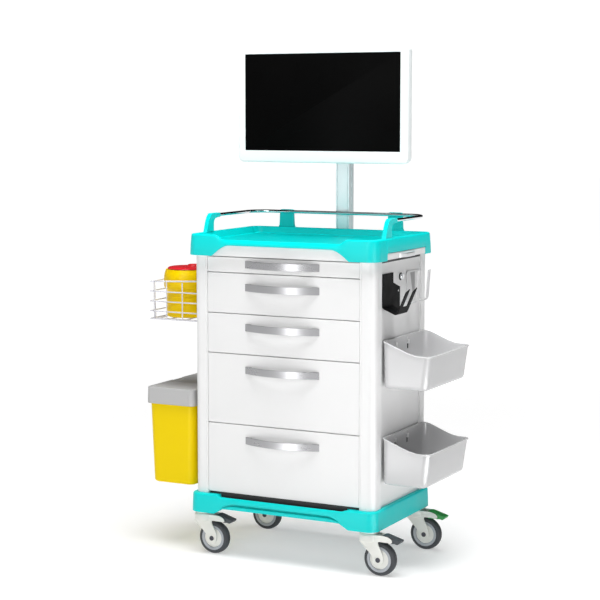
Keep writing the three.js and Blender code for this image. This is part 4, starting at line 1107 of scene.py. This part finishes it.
def staple(corners, bend, wire):
    """A wire down one side, along the floor and up the other side."""
    a, b, c, d = (Vector(p) for p in corners)
    down, along = (b - a).normalized() * bend, (c - b).normalized() * bend
    turn = (0.0, 0.25, 0.5, 0.75, 1.0)
    path = [a] + [b - down * (1 - t) ** 2 + along * t**2 for t in turn]
    path += [c - along * (1 - t) ** 2 - down * t**2 for t in turn] + [d]
    return sweep(path, wire, 10)


def make_basket():
    s = span("wire_basket")
    wire, bend = 2.0, 6.0
    x0, x1, y0, y1 = s.x0 - 5, s.x1 - wire, s.y0 + wire, s.y1 - wire
    low, high, top_rise = s.z0 + wire, s.z1 - wire, 8.0
    hoop = loop(x0, x1, y0, y1, 7.0, 7)
    wires = [sweep(flat(hoop, "z", z), wire, 10, closed=True) for z in (low, 740, 771, 802)]
    rim = lifted(hoop, lambda x, y: high + top_rise * (x - x0) / (x1 - x0))
    wires.append(sweep(rim, wire + 0.4, 12, closed=True))
    for x in (-468, -423, -366):
        corners = ((x, y0, high), (x, y0, low), (x, y1, low), (x, y1, high))
        wires.append(staple(corners, bend, wire * 0.95))
    for y in (-137, -66, -20):
        corners = ((x0 + 6, y, high), (x0 + 9, y, low), (x1, y, low), (x1, y, high))
        wires.append(staple(corners, bend, wire * 0.95))
    piece("basket_wires", joined(*wires), "cart", WIRE_COAT, ["wire_basket"], sharp=70)


def make_sharps():
    s = span("sharps_container")
    x, y = -396.0, (s.y0 + s.y1) / 2
    body, lid_body = "sharps_container", "sharps_lid"
    shell = [(0, 720), (58, 720)] + arc(61, 726, 6, -90, 0, 6)
    shell += [(67, 800)] + bezier((67, 800), (67, 808), (75, 808), (76, 817), 8)
    shell += [(76, 838)] + bezier((76, 838), (76, 848), (73, 858), (70.6, 865), 8)
    shell += [(70.2, 867.4), (69, 868.4), (67.6, 867.6), (67, 865)]
    shell += [(73.4, 844), (73.4, 818), (64.4, 804), (64.4, 727), (60, 722.5), (0, 722.5)]
    shape = turned(shell, (x, y, 0), segments=72)
    piece("sharps_shell", shape, body, SHARPS_YELLOW, [body], sharp=34)
    hinge = (x + 60, y, 878)
    ear = loop(x + 55, x + 69, 862, 882, 3.5, 6)
    parts = [prism(ear, "y", y0, y0 + 4) for y0 in (y - 19, y + 15)]
    parts.append(disc(hinge, "y", 2, -16, 16, 0.3, segments=20))
    for z in (760, 784):
        band = [(66.6, z - 1.4), (67.8, z - 0.7), (67.8, z + 0.7), (66.6, z + 1.4), (66.6, z - 1.4)]
        parts.append(turned(band, (x, y, 0), segments=72))
    piece("sharps_ears", joined(*parts), body, SHARPS_YELLOW, bevel=0.5)

    lid = [(0, 868.6), (63, 868.6), (64, 869.4), (64, 871.4)]
    lid += bezier((64, 871.4), (63.4, 873.4), (61, 875), (57, 875.8), 5) + [(40, 877), (0, 877.4)]
    cover = turned(lid, (x, y, 0), segments=72)
    room = block(x + 50, x + 70, y - 20, y + 20, 860, 890)
    piece("sharps_cover", cover, lid_body, RED, [lid_body], [room], bevel=0.4, sharp=34)
    plug = [(0, 876.6), (20, 876.6), (20, 881), (19, 883.2), (17, 884), (13, 884), (12, 882.4), (0, 882)]
    piece("sharps_plug", turned(plug, (x + 22, y, 0), segments=40), lid_body, RED)
    arm = prism(loop(x + 40, x + 60, y - 13, y + 13, 2, 4), "z", 873.2, 880)
    bore = disc(hinge, "y", 2.5, -20, 20, 0.2, segments=20)
    piece("sharps_hinge", arm, lid_body, RED, cut=[bore], bevel=0.5)
    piece("sharps_knuckle", disc(hinge, "y", 5, -14, 14, 0.8, 2.35, segments=28), lid_body, RED)


def make_waste_bucket():
    outside, low, top = (-482.0, -318.4, -175.0, 155.0), 202.0, 470.0
    draft, wall = 7.0, 2.5
    levels = [(12, low), (5, low + 0.5), (1.8, low + 2.6), (0.4, low + 6), (0, low + 11)]
    levels += [(0, top - 12), (0, top - 0.6), (0.6, top), (wall - 0.5, top), (wall, top - 0.6)]
    levels += [(wall, low + 12), (wall + 3, low + 4.4), (wall + 12, low + 3)]
    rings = []
    for inset, z in levels:
        lean = inset + draft * (top - z) / (top - low)
        rings.append(flat(inset_loop(outside, lean, max(22 - inset, 5), 10), "z", z))
    piece("waste_bucket", loft(rings), "waste_bin", YELLOW, ["waste_bin"], sharp=50)
    inner_x = outside[1]
    rib = joined(block(inner_x - 3, -306, -78, 58, 443, 446), block(-309, -306, -78, 58, 432, 445))
    piece("waste_hang_rib", rib, "waste_bin", YELLOW, bevel=0.5)


def make_waste_lid():
    """The cover and, beyond the hinge seam, the collar that stays on the bin."""
    lid = span("waste_bin_lid")
    x0, x1, y0, y1, low, high = lid.x0, -315.0, lid.y0, lid.y1, 453.0, 505.0
    wall, under, reach = 3.4, high - 3.4, 40.0
    levels = [(24, under), (wall + 1.5, under), (wall, under - 1.5), (wall, low + 0.6), (wall - 0.6, low)]
    levels += [(0.6, low), (0, low + 0.7), (0, high - 3.2), (0.5, high - 1.6), (1.6, high - 0.5)]
    levels += [(3.2, high), (26, high)]
    rings = []
    for inset, z in levels:
        lean = inset + (z - low) / (high - low)
        rings.append(flat(inset_loop((x0, x1, y0, y1), lean, max(16 - inset, 5), 10), "z", z))
    shell = loft(rings)
    seam, hinge_z = -331.0, lid.z1 - 3.4
    gap, knuckle_half = 0.35, 18.4
    hinges = (-100.0, 80.0)

    cut = [block(seam - gap, x1 + reach, y0 - 5, y1 + 5, low - 5, high + 5)]
    cut.append(block(x0 - 3, x0 + 8, -30, 34, high - 10, high + 2))
    for edge in (y + side * 20 for y in hinges for side in (-1, 1)):
        cut.append(block(seam - 4, seam + 1, edge - 2.4, edge + 2.4, high - 8, high + 4))
    piece(
        "waste_cover", shell, "waste_bin_lid", GREY, ["waste_bin_lid"], cut,
        bevel=0.5, sharp=34,
    )
    pull = prism(loop(x0 + 1.2, x0 + 11, -32, 36, 1, 4), "z", high - 14, high - 10)
    knuckles = [disc((seam, y, hinge_z), "y", 3.4, -17.6, 17.6, 0.5, 1.9, segments=24) for y in hinges]
    piece("waste_lid_pull", joined(pull, *knuckles), "waste_bin_lid", GREY)

    cut = [block(x0 - reach, seam + gap, y0 - 5, y1 + 5, low - 5, high + 5)]
    cut += [block(seam - 1, seam + 5, y - knuckle_half, y + knuckle_half, 490, high + 4) for y in hinges]
    piece("waste_collar", shell, "waste_bin", GREY, cut=cut, bevel=0.5, sharp=34)
    ears = []
    ear = loop(seam - 2.9, seam + 2.9, high - 2.2, high + 2.5, 1.4, 5)
    for y in hinges:
        for near in (y - knuckle_half - 3.5, y + knuckle_half):
            ears.append(prism(ear, "y", near, near + 3.5))
        ears.append(disc((seam, y, hinge_z), "y", 1.5, -21, 21, 0.2, segments=16))
    piece("waste_hinge_ears", joined(*ears), "waste_bin", GREY)


# ------------------------------------------------------------------ right side


def make_bin(which):
    """A bin whose side rims fall in a curve from its back to its front, and whose walls
    lean outwards."""
    node = f"storage_bin_{which}"
    s = span(node)
    bottom, middle = s.z0, 11.0
    back_x, rim_x, floor_x = s.x0, s.x1, 444.0
    back_height, front_height = 140.5, 103.5
    rim_half, floor_half = 156.0, 152.0
    radius, wall = 20.0, 3.0
    start, end = (back_x, back_height), (back_x + 123, front_height)
    curve = [start]
    curve += bezier(start, (back_x + 40, back_height - 7), (back_x + 80, front_height), end, 40)
    places = [back_x + 4 + i * 7.0 for i in range(19)]

    def rim(x):
        for (xa, za), (xb, zb) in zip(curve, curve[1:]):
            if x <= xb:
                return bottom + za + (zb - za) * max(x - xa, 0) / (xb - xa)
        return bottom + front_height

    def ring(inset, height):
        """The plan at a height: a number from the floor, or below the curved rim."""
        box = (back_x, floor_x, -floor_half, floor_half)
        points = []
        for u, v in inset_loop(box, inset, max(radius - inset, 4), 10, places):
            x = u
            for _ in range(4):
                z = height + (rim(x) if height <= 0 else bottom)
                rise = (z - bottom) / front_height
                x = u + (rim_x - floor_x) * rise * max((u - back_x) / (floor_x - back_x), 0)
            y = v * (1 + (rim_half / floor_half - 1) * rise)
            points.append((x, y + middle, z))
        return points

    levels = [(14, 0.001), (8, 0.5), (4, 2.2), (1.3, 6), (0, 12.5), (0, 70), (0, -5), (-2.4, -4.4)]
    levels += [(-3.2, -3.6), (-3.4, -1.8), (-2.8, -0.5), (-1.4, 0), (wall - 1, 0), (wall - 0.2, -0.4)]
    levels += [(wall, -1.4), (wall, 70), (wall, 13), (wall + 1.2, 7), (wall + 4, 4), (wall + 11, wall)]
    shape = loft([ring(inset, height) for inset, height in levels])
    hook, keyholes = bottom + 118, (-54, 35)
    cut = [block(back_x - 5, back_x + 6, y - 4.5, y + 4.5, hook - 20, hook + 0.5) for y in keyholes]
    piece(f"bin_{which}", shape, node, BIN, [node], cut, sharp=50)
    # Painted shade: dark liners inside the keyhole slots and dark sheets on the panel behind them
    slot_shade, panel_shade, ridges = [], [], []
    near, far, inside = back_x + 0.3, back_x + 2.7, back_x + wall
    for y in keyholes:
        slot_shade.append(block(near, far, y + 3.9, y + 4.6, hook - 20, hook + 0.5))
        slot_shade.append(block(near, far, y - 4.5, y + 4.6, hook - 20.2, hook - 19.4))
        panel_shade.append(block(298.1, 299.4, y - 6, y + 27, hook - 26, hook + 2))
        ridge = loop(y - 6.5, y + 6.5, hook + 1.5, hook + 15, 5, 6)
        ridges.append(prism(ridge, "x", inside - 0.4, inside + 2.6))
    piece(f"bin_slot_liners_{which}", joined(*slot_shade), node, DARK_PARTS_AND_PAINTED_SHADE)
    piece(f"bin_pads_{which}", joined(*panel_shade), "cart", DARK_PARTS_AND_PAINTED_SHADE)
    piece(f"bin_ridges_{which}", joined(*ridges), node, BIN, bevel=1.1)


def make_holder():
    x = span("scanner_holder").x0 + 1.5
    bend = [(x, 886), (x, 793)] + bezier((x, 793), (x, 787), (x + 3, 785.6), (x + 8, 783.6), 6)
    bend += [(x + 36, 771.8)] + bezier((x + 36, 771.8), (x + 43, 769), (x + 46, 770.5), (x + 49, 777), 7)
    bend += [(x + 73, 833), (x + 78, 845)]
    above_tips = [(-140, 833), (-112, 845), (-80, 833), (-60, 845), (-50, 845), (-50, 872), (-140, 872)]
    between = [(-112, 792), (-80, 792), (-80, 862), (-112, 862)]
    cut = [prism(above_tips, "x", x + 20, x + 92), prism(between, "x", x + 46, x + 92)]
    piece(
        "scanner_bracket", prism(strip(bend, 3), "y", -132, -60), "cart", BLACK,
        ["scanner_holder"], cut, bevel=0.3, segments=2,
    )
    sheet = prism(strip([(x, 886), (x, 774)], 3), "y", -60, -9)
    corner = [(-57.5, 890), (-57.5, 856), (-13, 841), (-5, 841), (-5, 890)]
    cut = [prism(corner, "x", x - 10, x + 10)]
    piece("scanner_plate", sheet, "cart", BLACK, cut=cut, bevel=0.3, segments=2)
    rivet = disc((0, -22, 829), "x", 2.6, x + 1.2, x + 2.6, 0.5, segments=24)
    piece("scanner_rivet", rivet, "cart", WHITE)


def make_hooks():
    x = span("double_hook").x0 + 1.5
    # Painted shade: a grey sheet behind the plate's window stands for the shade between the hooks
    shade_sheet = prism([(64, 878), (106, 878), (106, 812), (82, 812)], "x", x - 1.4, x - 0.2)
    piece("hook_painted_shade", shade_sheet, "cart", HOOK_SHADE)
    plate = prism(loop(42, 140, 787, 881, 6, 8), "x", x - 1.5, x + 1.5)
    window = prism([(66, 876), (104, 876), (104, 815), (84, 815)], "x", x - 5, x + 5)
    piece("hook_plate", plate, "cart", HOOK, cut=[window], bevel=0.5)
    bend = [(x, 812), (x, 801)] + arc(x + 15.5, 801, 15.5, 180, 350, 20)[1:] + [(x + 37, 881)]
    hooks = [prism(strip(bend, 3), "y", y0, y0 + 18) for y0 in (42, 120)]
    piece("hook_strip", joined(*hooks), "cart", HOOK, ["double_hook"], bevel=0.7)


def make_lock():
    x, z = 298.0, 869.0
    face = disc((0, 0, z), "x", 9, x + 0.35, x + 8, 1.4, segments=40)
    barrel = disc((0, 0, z), "x", 7, x - 16, x + 1, 0.5, segments=32)
    cam = block(x - 19, x - 15, -6, 6, 863, 893)
    key_slot = block(x + 3, x + 12, -1, 1, 864, 874)
    piece(
        "lock_face", joined(face, barrel, cam), "lock_barrel", CHROME, ["lock_barrel"],
        [key_slot], bevel=0.3,
    )
    collar = disc((0, 0, z), "x", 11.5, x + 0.1, x + 2.4, 0.6, 9.3, segments=40)
    piece("lock_ring", collar, "lock_barrel", DARK_PARTS_AND_PAINTED_SHADE)


# ------------------------------------------------------------------ making it all

make_camera()
make_stage()
make_base()
make_tray()
make_columns()
for number in range(1, 6):
    make_drawer(number)
make_rail()
for side_name in ("left", "right"):
    make_fin(side_name)
    make_stanchion(side_name)
make_monitor()
make_pole()
make_arm()
make_underplate()
for corner_name in CORNERS:
    make_caster(corner_name)
make_side_shelf()
make_basket()
make_sharps()
make_waste_bucket()
make_waste_lid()
for which_bin in ("upper", "lower"):
    make_bin(which_bin)
make_holder()
make_hooks()
make_lock()
for panel in ("side_panel_left", "side_panel_right", "back_panel", "front_fascia"):
    dress(panel, CABINET)
for rack in ("runner_rack_left", "runner_rack_right"):
    dress(rack, RUNNER, 0.3)
